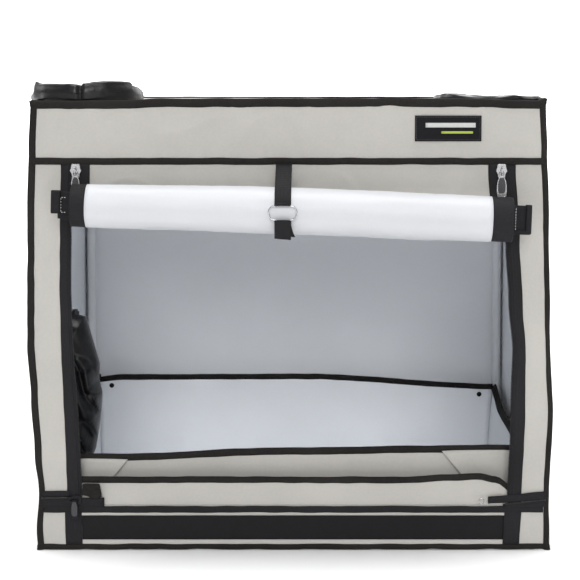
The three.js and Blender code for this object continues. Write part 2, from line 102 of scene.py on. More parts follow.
def principled(name, colour, roughness, metallic=0.0):
    """A new material, and its nodes, links and shader."""
    material = bpy.data.materials.new(name)
    material.use_nodes = True
    nodes = material.node_tree.nodes
    shader = nodes["Principled BSDF"]
    shader.inputs["Base Color"].default_value = (*colour, 1)
    shader.inputs["Roughness"].default_value = roughness
    shader.inputs["Metallic"].default_value = metallic
    return material, nodes, material.node_tree.links, shader


def studio_sheet(name, shape, finish, lift=0.0):
    """The floor or the backdrop of the studio."""
    mesh = bpy.data.meshes.new(name)
    shape.to_mesh(mesh)
    shape.free()
    mesh.materials.append(finish)
    sheet = bpy.data.objects.new(name, mesh)
    sheet.location.z = lift
    scene.collection.objects.link(sheet)


floor_finish, _, _, _ = principled("pale_floor", (0.88, 0.88, 0.88), 0.9)
floor_shape = bmesh.new()
bmesh.ops.create_circle(floor_shape, cap_ends=True, segments=96, radius=14)
studio_sheet("floor", floor_shape, floor_finish, -0.0005)

backdrop_finish, _, _, backdrop_shader = principled("white_backdrop", (0.9, 0.9, 0.9), 1.0)
backdrop_shader.inputs["Emission Color"].default_value = (1, 1, 1, 1)
backdrop_shader.inputs["Emission Strength"].default_value = 0.85
backdrop_shape = bmesh.new()
bmesh.ops.create_grid(backdrop_shape, x_segments=1, y_segments=1, size=0.5)
stand_up = Matrix.Rotation(TAU / 4, 4, "X")
at_back = Matrix.Translation((0, 7.5, 2.5)) @ stand_up @ Matrix.Diagonal((14, 7, 1, 1))
bmesh.ops.transform(backdrop_shape, matrix=at_back, verts=backdrop_shape.verts)
studio_sheet("backdrop", backdrop_shape, backdrop_finish)

# How the tent hangs. Its sizes come from the frame. A fabric box is never square:
# each upright edge wanders a little between the base and the roof, and all that is
# sewn to it goes with it. The lists give how far, in metres: the upright edges' shift
# by height, and the roof's front edge's lift by place across.
X, Y, Z = Vector((1, 0, 0)), Vector((0, 1, 0)), Vector((0, 0, 1))
edges_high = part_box("edge_binding")[1]
HALF_X = edges_high.x
HALF_Y = edges_high.y
TOP = edges_high.z
SKIN_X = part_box("right_wall")[1].x
SKIN_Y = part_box("back_wall")[1].y
SKIN_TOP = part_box("roof_panel")[1].z
BASE_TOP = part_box("base_panel")[1].z
OPENING_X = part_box("post_panel_right")[0].x
CLOTH = 0.0015
ZIP_TAPE_LAP = 0.019
TAPE_OUTER_X = OPENING_X + ZIP_TAPE_LAP

LEFT_EDGE = [(0, 0.011), (0.03, 0.009), (0.093, 0.0135), (0.155, 0.0075), (0.235, 0.0035), (0.32, -0.001),
             (0.545, 0.0025), (0.62, 0.0058), (0.70, 0.0095)]
LEFT_TAPE = [(0, 0.005), (0.055, 0.004), (0.092, 0.0075), (0.157, 0.0065), (0.20, 0.005), (0.25, 0.0037),
             (0.30, 0.0015), (0.41, 0.0006), (0.50, 0.0022), (0.60, 0.0048), (0.70, 0.0075)]
RIGHT_TAPE = [(0, 0.009), (0.078, 0.012), (0.205, 0.0165), (0.306, 0.0165), (0.39, 0.0105), (0.483, 0.0050),
              (0.60, -0.002), (0.70, -0.005)]
RIGHT_EDGE = [(0, 0.0065), (0.093, 0.0053), (0.205, 0.0099), (0.34, 0.0035), (0.545, -0.0006),
              (0.62, -0.004), (0.70, -0.007)]
ROOF_EDGE = [(-0.40, -0.0042), (-0.26, -0.0032), (-0.20, -0.0005), (0.10, 0.0), (0.135, 0.0), (0.157, 0.0018),
             (0.18, 0.0), (0.30, -0.0008), (0.36, -0.0035), (0.39, -0.0035), (0.40, -0.0005)]
ROOF_LIFT_FOOT = 0.62
SOFT_CORNER = 0.007


def along(curve, t):
    """The value of a curve through a few points, eased between each two."""
    if t <= curve[0][0]:
        return curve[0][1]
    for (t0, value0), (t1, value1) in zip(curve, curve[1:]):
        if t <= t1:
            share = (t - t0) / (t1 - t0)
            return value0 + (value1 - value0) * share * share * (3 - 2 * share)
    return curve[-1][1]


def hang(x, y, z):
    """Where a point of the cover really hangs."""
    stations = [
        (-HALF_X, along(LEFT_EDGE, z)),
        (-TAPE_OUTER_X, along(LEFT_TAPE, z)),
        (TAPE_OUTER_X, along(RIGHT_TAPE, z)),
        (HALF_X, along(RIGHT_EDGE, z)),
    ]
    front = min(max((HALF_Y - y) / (2 * HALF_Y), 0), 1)
    shift = stations[-1][1]
    if x <= stations[0][0]:
        shift = stations[0][1]
    else:
        for (x0, shift0), (x1, shift1) in zip(stations, stations[1:]):
            if x <= x1:
                shift = shift0 + (shift1 - shift0) * (x - x0) / (x1 - x0)
                break
    lift = along(ROOF_EDGE, x) * max(0, (z - ROOF_LIFT_FOOT) / 0.08) * front ** 1.5
    out = abs(x) - (HALF_X - SOFT_CORNER)
    over = max(z - (TOP - SOFT_CORNER), SOFT_CORNER - z)
    if out > 0 and over > 0 and math.hypot(out, over) > SOFT_CORNER:
        pull_in = SOFT_CORNER / math.hypot(out, over) - 1
        shift += math.copysign(out * pull_in, x)
        lift += math.copysign(over * pull_in, z - TOP / 2)
        return Vector((x + shift * front + math.copysign(out * pull_in, x) * (1 - front), y, z + lift))
    return Vector((x + shift * front, y, z + lift))


# Cover. The front is a header over the doorway, a narrow panel on each side of it and
# the base below; the sides, the back and the roof are one panel each. They are a plain
# weave of thick light grey yarn, sewn back to back with a white coated liner.
def rumple(x, y, z, size, seed=0.0):
    """Smooth unevenness from -1 to 1, in lumps of about that size."""
    return noise.noise(Vector((x / size + seed, y / size - seed, z / size + 0.7 * seed)))


def crease(x, y, z, size, seed):
    """Sharp soft-sided creases, from 0 to 1, about that far apart."""
    return max(0.0, 1 - 7 * abs(rumple(x, y, z, size, seed))) ** 2


def lay_grid(bm, width, height, cell, place, hole=None):
    """Adds a grid of width by height to the mesh and lays each of its points. The
    cloth's own measures, in metres, are its UV map."""
    uv = bm.loops.layers.uv.verify()
    columns = max(1, round(width / cell[0]))
    rows = max(1, round(height / cell[1]))
    made = bmesh.ops.create_grid(bm, x_segments=columns, y_segments=rows, size=0.5)
    verts = made["verts"]
    for vert in verts:
        vert.co = ((vert.co.x + 0.5) * width, (vert.co.y + 0.5) * height, 0)
    faces = {face for vert in verts for face in vert.link_faces}
    if hole:
        centre, radius = Vector((hole[0], hole[1], 0)), hole[2]
        gone = [f for f in faces if (f.calc_center_median() - centre).length < radius]
        faces -= set(gone)
        bmesh.ops.delete(bm, geom=gone, context="FACES")
        verts = [v for v in verts if v.is_valid]
        reach = radius + 1.6 * max(cell)
        for vert in verts:
            offset = vert.co - centre
            if vert.is_boundary and offset.length < reach:
                vert.co = centre + offset.normalized() * radius
    for face in faces:
        for loop in face.loops:
            loop[uv].uv = loop.vert.co.xy
    for vert in verts:
        vert.co = place(vert.co.x, vert.co.y)
    return verts


def finish_piece(bm, name, materials, body="tent"):
    """Turns the mesh into a smooth object, which rides on a body where one is given."""
    mesh = bpy.data.meshes.new(name)
    bm.to_mesh(mesh)
    bm.free()
    mesh.polygons.foreach_set("use_smooth", [True] * len(mesh.polygons))
    piece = bpy.data.objects.new(name, mesh)
    scene.collection.objects.link(piece)
    for material in materials:
        mesh.materials.append(material)
    if body:
        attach(piece, body)
    return piece


def thicken(piece, thickness, two_faced=True):
    """Gives a sheet its thickness on its inner side, with its second finish there."""
    wall = piece.modifiers.new("thickness", "SOLIDIFY")
    wall.thickness = thickness
    wall.offset = -1
    wall.use_even_offset = False
    if two_faced:
        wall.material_offset = 1
    return piece


def cloth_piece(name, size, cell, place, materials, thickness=CLOTH, body="tent", hole=None):
    """One sheet of cloth as an object: a grid cut to size and laid by a rule, with its
    outside in the first material and its inside in the second."""
    bm = bmesh.new()
    lay_grid(bm, size[0], size[1], cell, place, hole)
    piece = finish_piece(bm, name, materials, body)
    return thicken(piece, thickness, len(materials) > 1)


def noise_on(nodes, links, place, scale, detail=2.0, distortion=0.0):
    """Noise over a place on the piece."""
    texture = nodes.new("ShaderNodeTexNoise")
    texture.inputs["Scale"].default_value = scale
    texture.inputs["Detail"].default_value = detail
    texture.inputs["Distortion"].default_value = distortion
    links.new(place, texture.inputs["Vector"])
    return texture.outputs["Fac"]


def relief_of(nodes, links, height, strength, distance, under=None):
    """The normal that a height gives, on top of another one."""
    bump = nodes.new("ShaderNodeBump")
    bump.inputs["Strength"].default_value = strength
    bump.inputs["Distance"].default_value = distance
    links.new(height, bump.inputs["Height"])
    if under:
        links.new(under, bump.inputs["Normal"])
    return bump.outputs["Normal"]


def between(nodes, links, value, low, high):
    """A value that ran from 0 to 1, made to run from low to high."""
    span = nodes.new("ShaderNodeMapRange")
    span.inputs["To Min"].default_value = low
    span.inputs["To Max"].default_value = high
    links.new(value, span.inputs["Value"])
    return span.outputs["Result"]


TWILL_SLANT = math.radians(32)


def woven(name, colour, roughness, thread, relief, mottle, sheen=0.0, twill=False, shine=0.5):
    """A cloth finish whose threads follow the piece's UV map, in metres."""
    material, nodes, links, shader = principled(name, colour, roughness)
    place = nodes.new("ShaderNodeUVMap")
    turn = nodes.new("ShaderNodeMapping")
    turn.inputs["Rotation"].default_value = (0, 0, TWILL_SLANT if twill else 0)
    links.new(place.outputs["UV"], turn.inputs["Vector"])
    height = None
    for direction in ("X", "Y"):
        threads = nodes.new("ShaderNodeTexWave")
        threads.bands_direction = direction
        threads.inputs["Scale"].default_value = TAU / 20 / thread
        threads.inputs["Distortion"].default_value = 0.6
        threads.inputs["Detail"].default_value = 2
        threads.inputs["Detail Scale"].default_value = 1.5
        links.new(turn.outputs["Vector"], threads.inputs["Vector"])
        if height is None:
            height = threads.outputs["Fac"]
        else:
            both = nodes.new("ShaderNodeMath")
            both.operation = "MULTIPLY"
            links.new(height, both.inputs[0])
            links.new(threads.outputs["Fac"], both.inputs[1])
            height = both.outputs["Value"]
    piece_place = nodes.new("ShaderNodeTexCoord").outputs["Object"]
    slubs = noise_on(nodes, links, piece_place, 260, 3)
    clouds = noise_on(nodes, links, piece_place, 9, 5)
    tone = nodes.new("ShaderNodeMath")
    tone.operation = "MULTIPLY_ADD"
    tone.inputs[1].default_value = 0.55
    links.new(slubs, tone.inputs[0])
    links.new(clouds, tone.inputs[2])
    shade = nodes.new("ShaderNodeValToRGB")
    shade.color_ramp.elements[0].position = 0.55
    shade.color_ramp.elements[1].position = 1.0
    shade.color_ramp.elements[0].color = (*(c * (1 - mottle) for c in colour), 1)
    shade.color_ramp.elements[1].color = (*(min(1, c * (1 + mottle)) for c in colour), 1)
    links.new(tone.outputs["Value"], shade.inputs["Fac"])
    links.new(shade.outputs["Color"], shader.inputs["Base Color"])
    rough = between(nodes, links, clouds, roughness - 0.08, min(1, roughness + 0.08))
    links.new(rough, shader.inputs["Roughness"])
    weave = relief_of(nodes, links, height, 0.7, relief)
    uneven = relief_of(nodes, links, slubs, 0.25, relief, weave)
    links.new(uneven, shader.inputs["Normal"])
    shader.inputs["Sheen Weight"].default_value = sheen
    shader.inputs["Specular IOR Level"].default_value = shine
    return material


canvas = woven("canvas", (0.424, 0.411, 0.384), 0.9, 0.0016, 0.00022, 0.05, 0.05)
liner = woven("liner", (0.87, 0.895, 0.93), 0.46, 0.0022, 0.00008, 0.02)
PANEL_CELL = (0.006, 0.006)
WALL_CELL = (0.012, 0.012)
ROOF_CELL = (0.0115, 0.0115)
DOORWAY_TRIM = 0.0045


def front_panel(name, x0, x1, z0, z1, depth, node):
    """A part of the front between two uprights and two heights."""
    def place(u, v):
        x, z = x0 + u, z0 + v
        near_edge = min(u, v, x1 - x, z1 - z)
        slack = min(max(near_edge / 0.03, 0), 1)
        swell = depth * rumple(x, 0, z, 0.09, 3.1) + 0.4 * depth * rumple(x, 0, z, 0.03, 7.7)
        pucker = 0.0004 * math.sin(x * 260 + 3 * rumple(x, 0, z, 0.05)) * (1 - slack)
        point = hang(x, -SKIN_Y, z)
        fold = 0.0018 * crease(x - 0.5 * z, 0, 0.7 * z, 0.11, 5.2)
        point.y -= (abs(swell) + fold) * slack + pucker
        return point
    piece = cloth_piece(name, (x1 - x0, z1 - z0), PANEL_CELL, place, [canvas, liner])
    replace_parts(piece, node)


low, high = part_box("header_panel")
front_panel("header_cloth", low.x, high.x, low.z, high.z, 0.0018, "header_panel")
for side in ("left", "right"):
    low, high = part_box(f"post_panel_{side}")
    x0, x1 = (low.x, high.x - DOORWAY_TRIM) if side == "left" else (low.x + DOORWAY_TRIM, high.x)
    front_panel(f"post_cloth_{side}", x0, x1, low.z, high.z, 0.0022, f"post_panel_{side}")


def wall_cloth(name, node, origin, across, up, size, depth, seed, hole=None):
    """A side or back wall, from one of its lower corners and the two ways it runs."""
    origin, across, up = Vector(origin), Vector(across), Vector(up)
    outward = across.cross(up)

    def place(u, v):
        flat = origin + across * u + up * v
        slack = min(max(min(u, v, size[0] - u, size[1] - v) / 0.05, 0), 1)
        swell = rumple(*flat, 0.22, seed) + 0.35 * rumple(*flat, 0.07, seed + 5)
        pull = 0.0005 * math.sin((u + v) * 190 + 4 * rumple(*flat, 0.06)) * (1 - slack)
        hung = hang(*flat)
        return hung + outward * (depth * (0.5 + swell) * slack + pull)
    piece = cloth_piece(name, size, WALL_CELL, place, [canvas, liner], hole=hole)
    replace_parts(piece, node)


PORT_Y = (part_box("port_ring_left")[0].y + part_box("port_ring_left")[1].y) / 2
PORT_Z = (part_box("port_ring_left")[0].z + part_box("port_ring_left")[1].z) / 2
PORT_RADIUS = 0.042
WALL_BULGE = 0.004
wall_low, wall_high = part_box("left_wall")
wall_size = (wall_high.y - wall_low.y, wall_high.z - wall_low.z)
wall_port = (wall_high.y - PORT_Y, PORT_Z - wall_low.z, PORT_RADIUS)
wall_cloth("left_cloth", "left_wall", (-SKIN_X, wall_high.y, wall_low.z), -Y, Z, wall_size, WALL_BULGE, 1.3,
           wall_port)
wall_cloth("right_cloth", "right_wall", (SKIN_X, wall_low.y, wall_low.z), Y, Z, wall_size, WALL_BULGE, 2.9)
back_low, back_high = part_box("back_wall")
back_size = (back_high.x - back_low.x, back_high.z - back_low.z)
wall_cloth("back_cloth", "back_wall", (SKIN_X, SKIN_Y, back_low.z), -X, Z, back_size, WALL_BULGE, 4.4)

ROOF_PORT = (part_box("roof_sleeve_right")[0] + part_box("roof_sleeve_right")[1]) / 2
ROOF_PORT_RADIUS = 0.048


def roof_half(side):
    """The left or right half of the roof, with its round port."""
    x0 = -SKIN_X if side == "left" else 0.0
    port_x = ROOF_PORT.x * (-1 if side == "left" else 1)
    size = (SKIN_X, 2 * SKIN_Y)
    hole = (port_x - x0, ROOF_PORT.y + SKIN_Y, ROOF_PORT_RADIUS)

    def place(u, v):
        x, y = x0 + u, -SKIN_Y + v
        sag = -0.0021 + 0.0012 * rumple(x, y, 0, 0.16, 6.1)
        slack = min(1, (SKIN_X - abs(x)) / 0.03, (SKIN_Y - abs(y)) / 0.03)
        return hang(x, y, SKIN_TOP) + Vector((0, 0, sag * slack))
    bm = bmesh.new()
    lay_grid(bm, *size, ROOF_CELL, place, hole)
    return bm


roof = roof_half("left")
roof_right = roof_half("right")
roof_mesh = bpy.data.meshes.new("roof_right_half")
roof_right.to_mesh(roof_mesh)
roof_right.free()
roof.from_mesh(roof_mesh)
bmesh.ops.remove_doubles(roof, verts=roof.verts, dist=1e-5)
roof_cloth = thicken(finish_piece(roof, "roof_cloth", [canvas, liner]), CLOTH)
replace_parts(roof_cloth, "roof_panel")

# Base. A panel runs round a long window of fine black mesh; grey cloth shows above
# and below the mesh and in a square at each end.
base_low, base_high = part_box("base_panel")
vent_low, vent_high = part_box("vent_mesh")
base_shape = bmesh.new()
base_rows = [base_low.z, vent_low.z - 0.0003, vent_high.z + 0.0018, base_high.z]
base_columns = [base_low.x, vent_low.x, vent_high.x, base_high.x]
for row, (z0, z1) in enumerate(zip(base_rows, base_rows[1:])):
    for column, (x0, x1) in enumerate(zip(base_columns, base_columns[1:])):
        if row == 1 and column == 1:
            continue

        def base_place(u, v, x0=x0, z0=z0):
            """A part of the base panel."""
            x, z = x0 + u, z0 + v
            point = hang(x, -SKIN_Y, z)
            point.y -= 0.0012 * abs(rumple(x, 0, z, 0.05, 2.2))
            return point
        lay_grid(base_shape, x1 - x0, z1 - z0, (0.012, 0.006), base_place)
bmesh.ops.remove_doubles(base_shape, verts=base_shape.verts, dist=2e-4)
base_cloth = thicken(finish_piece(base_shape, "base_cloth", [canvas, liner]), CLOTH)
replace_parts(base_cloth, "base_panel")

mesh_finish, nodes, links, shader = principled("vent_mesh", (0.008, 0.008, 0.009), 0.7)
shader.inputs["Specular IOR Level"].default_value = 0.2
knit_place = nodes.new("ShaderNodeUVMap")
knit = nodes.new("ShaderNodeTexVoronoi")
knit.inputs["Scale"].default_value = 620
knit.inputs["Randomness"].default_value = 0.25
links.new(knit_place.outputs["UV"], knit.inputs["Vector"])
knit_tone = nodes.new("ShaderNodeValToRGB")
knit_tone.color_ramp.elements[0].position = 0.1
knit_tone.color_ramp.elements[0].color = (0.003, 0.003, 0.0035, 1)
knit_tone.color_ramp.elements[1].position = 0.55
knit_tone.color_ramp.elements[1].color = (0.008, 0.0078, 0.0092, 1)
links.new(knit.outputs["Distance"], knit_tone.inputs["Fac"])
links.new(knit_tone.outputs["Color"], shader.inputs["Base Color"])
links.new(relief_of(nodes, links, knit.outputs["Distance"], 1.0, 0.0004), shader.inputs["Normal"])


def vent_place(u, v):
    """The mesh lies loose in its window, with a few soft upright folds."""
    x, z = vent_low.x - 0.004 + u, vent_low.z - 0.001 + v
    fold = 0.0012 * math.exp(-((x + 0.14 - 0.25 * (z - 0.03)) / 0.006) ** 2)
    fold += 0.0008 * rumple(x, 0, z, 0.03, 8.1)
    fold *= math.sin(TAU / 2 * min(max((z - vent_low.z) / (vent_high.z - vent_low.z), 0), 1))
    return hang(x, -SKIN_Y + 0.0004 - fold, z)


vent_size = (vent_high.x - vent_low.x + 0.008, vent_high.z - vent_low.z + 0.0045)
vent = cloth_piece("vent_cloth", vent_size, (0.006, 0.004), vent_place, [mesh_finish], 0.0005)
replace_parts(vent, "vent_mesh")

# Floor. One white coated sheet, flat on the ground, sewn to all four walls.
floor_low, floor_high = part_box("floor_sheet")


def floor_place(u, v):
    """The floor sheet lies flat, with its top a hair uneven."""
    x, y = floor_low.x + u, floor_low.y + v
    return hang(x, y, 0) + Vector((0, 0, CLOTH + 0.0004 * rumple(x, y, 0, 0.08)))


ground_size = (floor_high.x - floor_low.x, floor_high.y - floor_low.y)
ground_cell = (0.025, 0.025)
ground = cloth_piece("ground_cloth", ground_size, ground_cell, floor_place, [liner, canvas], 0.001)
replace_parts(ground, "floor_sheet")

# Bindings. Black twill tape is folded over each edge and sewn through, so it stands a
# little proud and wanders with the needle. One more runs along the header's seam.
tape_black = woven("black_tape", (0.0145, 0.0130, 0.0120), 0.8, 0.0014, 0.00025, 0.35, twill=True, shine=0.16)


def loft(bm, steps, around, place, length, girth):
    """Adds a closed tube: place gives a point from a share of the way along it and
    a share of the way round it. Its ends are closed."""
    uv = bm.loops.layers.uv.verify()
    made = bmesh.ops.create_grid(bm, x_segments=steps, y_segments=around, size=0.5)
    verts = made["verts"]
    faces = list(dict.fromkeys(face for vert in verts for face in vert.link_faces))
    for face in faces:
        for loop in face.loops:
            loop[uv].uv = ((loop.vert.co.x + 0.5) * length, (loop.vert.co.y + 0.5) * girth)
    for vert in verts:
        vert.co = place(vert.co.x + 0.5, vert.co.y + 0.5)
    bmesh.ops.remove_doubles(bm, verts=verts, dist=1e-6)
    faces = [face for face in faces if face.is_valid]
    rim = list(dict.fromkeys(edge for face in faces for edge in face.edges if edge.is_boundary))
    closed = bmesh.ops.holes_fill(bm, edges=rim, sides=0)
    bmesh.ops.recalc_face_normals(bm, faces=faces + closed["faces"])


# The tape's folded section in millimetres, from the edge along the two faces.
BINDING_SECTION = [
    (9.6, 1.7), (9.7, 0.9), (8.6, -0.1), (6.4, -0.5), (4.0, -0.2), (2.0, 0.1), (0.8, 0.8),
    (0.1, 2.0), (-0.2, 4.0), (-0.5, 6.4), (-0.1, 8.6), (0.9, 9.7), (1.7, 9.6), (1.9, 6.0),
    (2.2, 2.2), (6.0, 1.9),
]


def section_point(section, share, scale=1.0):
    """A point on a closed outline, a share of the way round it."""
    count = len(section)
    at = share * count
    index = int(at) % count
    part = at - int(at)
    s0, t0 = section[index]
    s1, t1 = section[(index + 1) % count]
    return (s0 + (s1 - s0) * part) * scale, (t0 + (t1 - t0) * part) * scale


# At the back uprights the tape is thinner inside, where it shows through the doorway.
INNER_CORNER_SECTION = BINDING_SECTION[:13] + [(0.9, 6.0), (1.0, 3.0), (2.3, 2.3), (3.0, 1.0), (6.0, 0.9)]


def round_section(count):
    """A circle of that many points."""
    return [(math.cos(a * TAU / count), math.sin(a * TAU / count)) for a in range(count)]


def squared(value, power):
    """A sine or cosine with its ends filled out, so that a circle turns squarer."""
    return math.copysign(abs(value) ** power, value)


def edge_tape(bm, start, end, first, second, widths=(1.0, 1.0), section=BINDING_SECTION):
    """Tape folded over the edge from start to end; first and second point from the
    edge along the two faces."""
    start, end, first, second = map(Vector, (start, end, first, second))
    length = (end - start).length
    steps = round(length / 0.008)

    def place(share, around):
        corner = start.lerp(end, share)
        s, t = section_point(section, around, 0.001)
        wobble = 1 + 0.09 * rumple(*corner, 0.028, 1.7)
        s = s * (widths[0] * wobble if s > 0.0035 else 1)
        t = t * (widths[1] * wobble if t > 0.0035 else 1)
        lift = 0.0002 * math.sin(share * length * 1500) + 0.0005 * rumple(*corner, 0.03, 5.5)
        if 0.0015 < s < 0.0045 and 0.0015 < t < 0.0045:
            lift = 0
        flat = corner + first * (s + lift) + second * (t + lift)
        flat.z = max(flat.z, 0)
        return hang(*flat)
    loft(bm, steps, len(section), place, length, 0.04)


bindings = bmesh.new()
for sx in (-1, 1):
    for sy in (-1, 1):
        corner = (sx * HALF_X, sy * HALF_Y)
        wide = 1.16 if sx < 0 else 1.04
        edge_tape(bindings, (*corner, 0.0005), (*corner, TOP - 0.001), -sx * X, -sy * Y, (wide, 1.0),
                  INNER_CORNER_SECTION if sy > 0 else BINDING_SECTION)
    for z, up in ((0, 1), (TOP, -1)):
        edge_tape(bindings, (sx * HALF_X, -HALF_Y, z), (sx * HALF_X, HALF_Y, z), -sx * X, up * Z)
for sy in (-1, 1):
    for z, up in ((0, 1), (TOP, -1)):
        wide = 1.32 if up < 0 and sy < 0 else 0.97
        end = HALF_X - (0.0035 if sy < 0 else 0)
        edge_tape(bindings, (-end, sy * HALF_Y, z), (end, sy * HALF_Y, z), -sy * Y, up * Z, (1.0, wide))


def flat_tape(bm, path, width, thickness, across, outward, length, wander=0.0005):
    """A flat tape along a path, with rounded edges; path gives a point from a share
    of the way along it, and so does width where it isn't one number."""
    section = round_section(12)
    width_at = width if callable(width) else lambda share: width

    def place(share, around):
        s, t = section_point(section, around)
        s = squared(s, 0.4)
        centre = path(share)
        edge = wander * rumple(*centre, 0.03, 4.2 + (1 if s > 0 else 0))
        return centre + across * (s * width_at(share) / 2 + edge) + outward * (t * thickness / 2)
    loft(bm, max(2, round(length / 0.006)), len(section), place, length, 2 * width_at(0.5))


SEAM_Z = 0.6046
seam_end = HALF_X - 0.004


def seam_path(share):
    """Along the header's seam."""
    x = -seam_end + 2 * seam_end * share
    return hang(x, -HALF_Y + 0.0006, SEAM_Z + 0.0004 * rumple(x, 0, 0, 0.05, 2.0))


flat_tape(bindings, seam_path, 0.0104, 0.0036, Z, -Y, 2 * seam_end, 0.0008)
binding = finish_piece(bindings, "edge_tape", [tape_black])
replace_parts(binding, "edge_binding")

# Pole frame. Thin white tubes plug into moulded three-way corners, and two bars for
# hanging things cross under the roof in tees that ride on the side rails.
pole_finish, nodes, links, shader = principled("white_powder_coat", (0.80, 0.82, 0.85), 0.32)
orange_peel = noise_on(nodes, links, nodes.new("ShaderNodeTexCoord").outputs["Object"], 900)
links.new(relief_of(nodes, links, orange_peel, 1.0, 0.00005), shader.inputs["Normal"])
POLE_RADIUS = 0.008
POLE_BORE = 0.007
POLE_CHAMFER = 0.0004


def grained_plastic(name, colour, roughness):
    """Moulded plastic with a fine spark-eroded grain."""
    material, nodes, links, shader = principled(name, colour, roughness)
    grain = noise_on(nodes, links, nodes.new("ShaderNodeTexCoord").outputs["Object"], 1400, 4)
    links.new(relief_of(nodes, links, grain, 0.5, 0.00008), shader.inputs["Normal"])
    return material


corner_finish = grained_plastic("corner_plastic", (0.018, 0.018, 0.02), 0.5)


def turned(bm, profile, steps, matrix):
    """Adds a ring or tube: a closed profile of radius and height, spun round Z and
    then placed by the matrix."""
    verts = [bm.verts.new((radius, 0, height)) for radius, height in profile]
    edges = [bm.edges.new((a, b)) for a, b in zip(verts, verts[1:] + verts[:1])]
    before = set(bm.verts) - set(verts)
    bmesh.ops.spin(bm, geom=verts + edges, axis=Z, cent=(0, 0, 0), steps=steps, angle=TAU, use_merge=True)
    made = [v for v in bm.verts if v not in before]
    bmesh.ops.remove_doubles(bm, verts=made, dist=1e-7)
    made = [v for v in bm.verts if v not in before]
    faces = list(dict.fromkeys(face for vert in made for face in vert.link_faces))
    bmesh.ops.recalc_face_normals(bm, faces=faces)
    bmesh.ops.transform(bm, matrix=matrix, verts=made)


def follow_cover(piece):
    """Lets a part of the pole frame lean and bow with the cover that it holds out."""
    inner_x, low_z, high_z = HALF_X - SOFT_CORNER - 0.001, SOFT_CORNER + 0.001, TOP - SOFT_CORNER - 0.001
    for vert in piece.data.vertices:
        kept = Vector((min(max(vert.co.x, -inner_x), inner_x), vert.co.y, min(max(vert.co.z, low_z), high_z)))
        vert.co += hang(*kept) - kept


for node in sorted(frame["nodes"]):
    if not node.endswith(("_post", "_rail", "_bar")):
        continue
    low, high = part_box(node)
    span = high - low
    axis = max(range(3), key=lambda i: span[i])
    half = span[axis] / 2
    rows = [-half + 0.0005 + (2 * half - 0.001) * row / 20 for row in range(21)]
    profile = [(POLE_RADIUS, row) for row in rows] + [(POLE_RADIUS - POLE_CHAMFER, half)]
    profile += [(POLE_BORE, row) for row in reversed(rows)] + [(POLE_RADIUS - POLE_CHAMFER, -half)]
    turn = Matrix.Rotation(TAU / 4, 4, "Y" if axis == 0 else "X") if axis < 2 else Matrix.Identity(4)
    tube = bmesh.new()
    turned(tube, profile, 28, Matrix.Translation((low + high) / 2) @ turn)
    pole = finish_piece(tube, f"{node}_tube", [pole_finish])
    pole.modifiers.new("edges", "EDGE_SPLIT").split_angle = math.radians(50)
    follow_cover(pole)
    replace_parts(pole, node)


def eased(piece, width, segments=3):
    """Rounds a piece's edges."""
    rounding = piece.modifiers.new("rounding", "BEVEL")
    rounding.width = width
    rounding.segments = segments
    rounding.limit_method = "ANGLE"
    rounding.angle_limit = math.radians(35)
    rounding.harden_normals = True
    return piece


def finished_copy(node, name, material, bevel, body="tent", segments=2):
    """A CAD piece with its flats merged and its edges rounded."""
    bm = bmesh.new()
    bm.from_mesh(frame["nodes"][node].data)
    bmesh.ops.remove_doubles(bm, verts=bm.verts, dist=1e-5)
    bmesh.ops.dissolve_limit(bm, angle_limit=math.radians(1), verts=bm.verts, edges=bm.edges)
    piece = eased(finish_piece(bm, name, [material], body), bevel, segments)
    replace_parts(piece, node)
    return piece


for node in sorted(frame["nodes"]):
    if node.endswith(("_corner", "_tee")):
        follow_cover(finished_copy(node, f"{node}_moulding", corner_finish, 0.0006))

# Zips. Black tape with a nylon coil edges the doorway on both sides; under it the
# tape turns along the base.
webbing_black = woven("black_webbing", (0.0100, 0.0092, 0.0108), 0.7, 0.0018, 0.00035, 0.3, shine=0.2)
coil_finish = grained_plastic("coil_nylon", (0.012, 0.012, 0.013), 0.42)


def coil(bm, path, length, pitch, size, lean):
    """A row of coil teeth along a path."""
    count = int(length / pitch)
    for index in range(count):
        at = path(index / count)
        ahead = (path(min(1, (index + 0.5) / count)) - path(max(0, (index - 0.5) / count))).normalized()
        turn = ahead.to_track_quat("Z", "Y").to_matrix().to_4x4()
        tilt = Matrix.Rotation(lean * (1 if index % 2 else -1), 4, "Y")
        tooth = Matrix.Translation(at) @ turn @ tilt @ Matrix.Diagonal((*size, 1))
        bmesh.ops.create_icosphere(bm, subdivisions=1, radius=1, matrix=tooth)


TAPE_TOP = SEAM_Z - 0.0045
BAND_TOP = 0.0625
BAND_FOOT = 0.0085
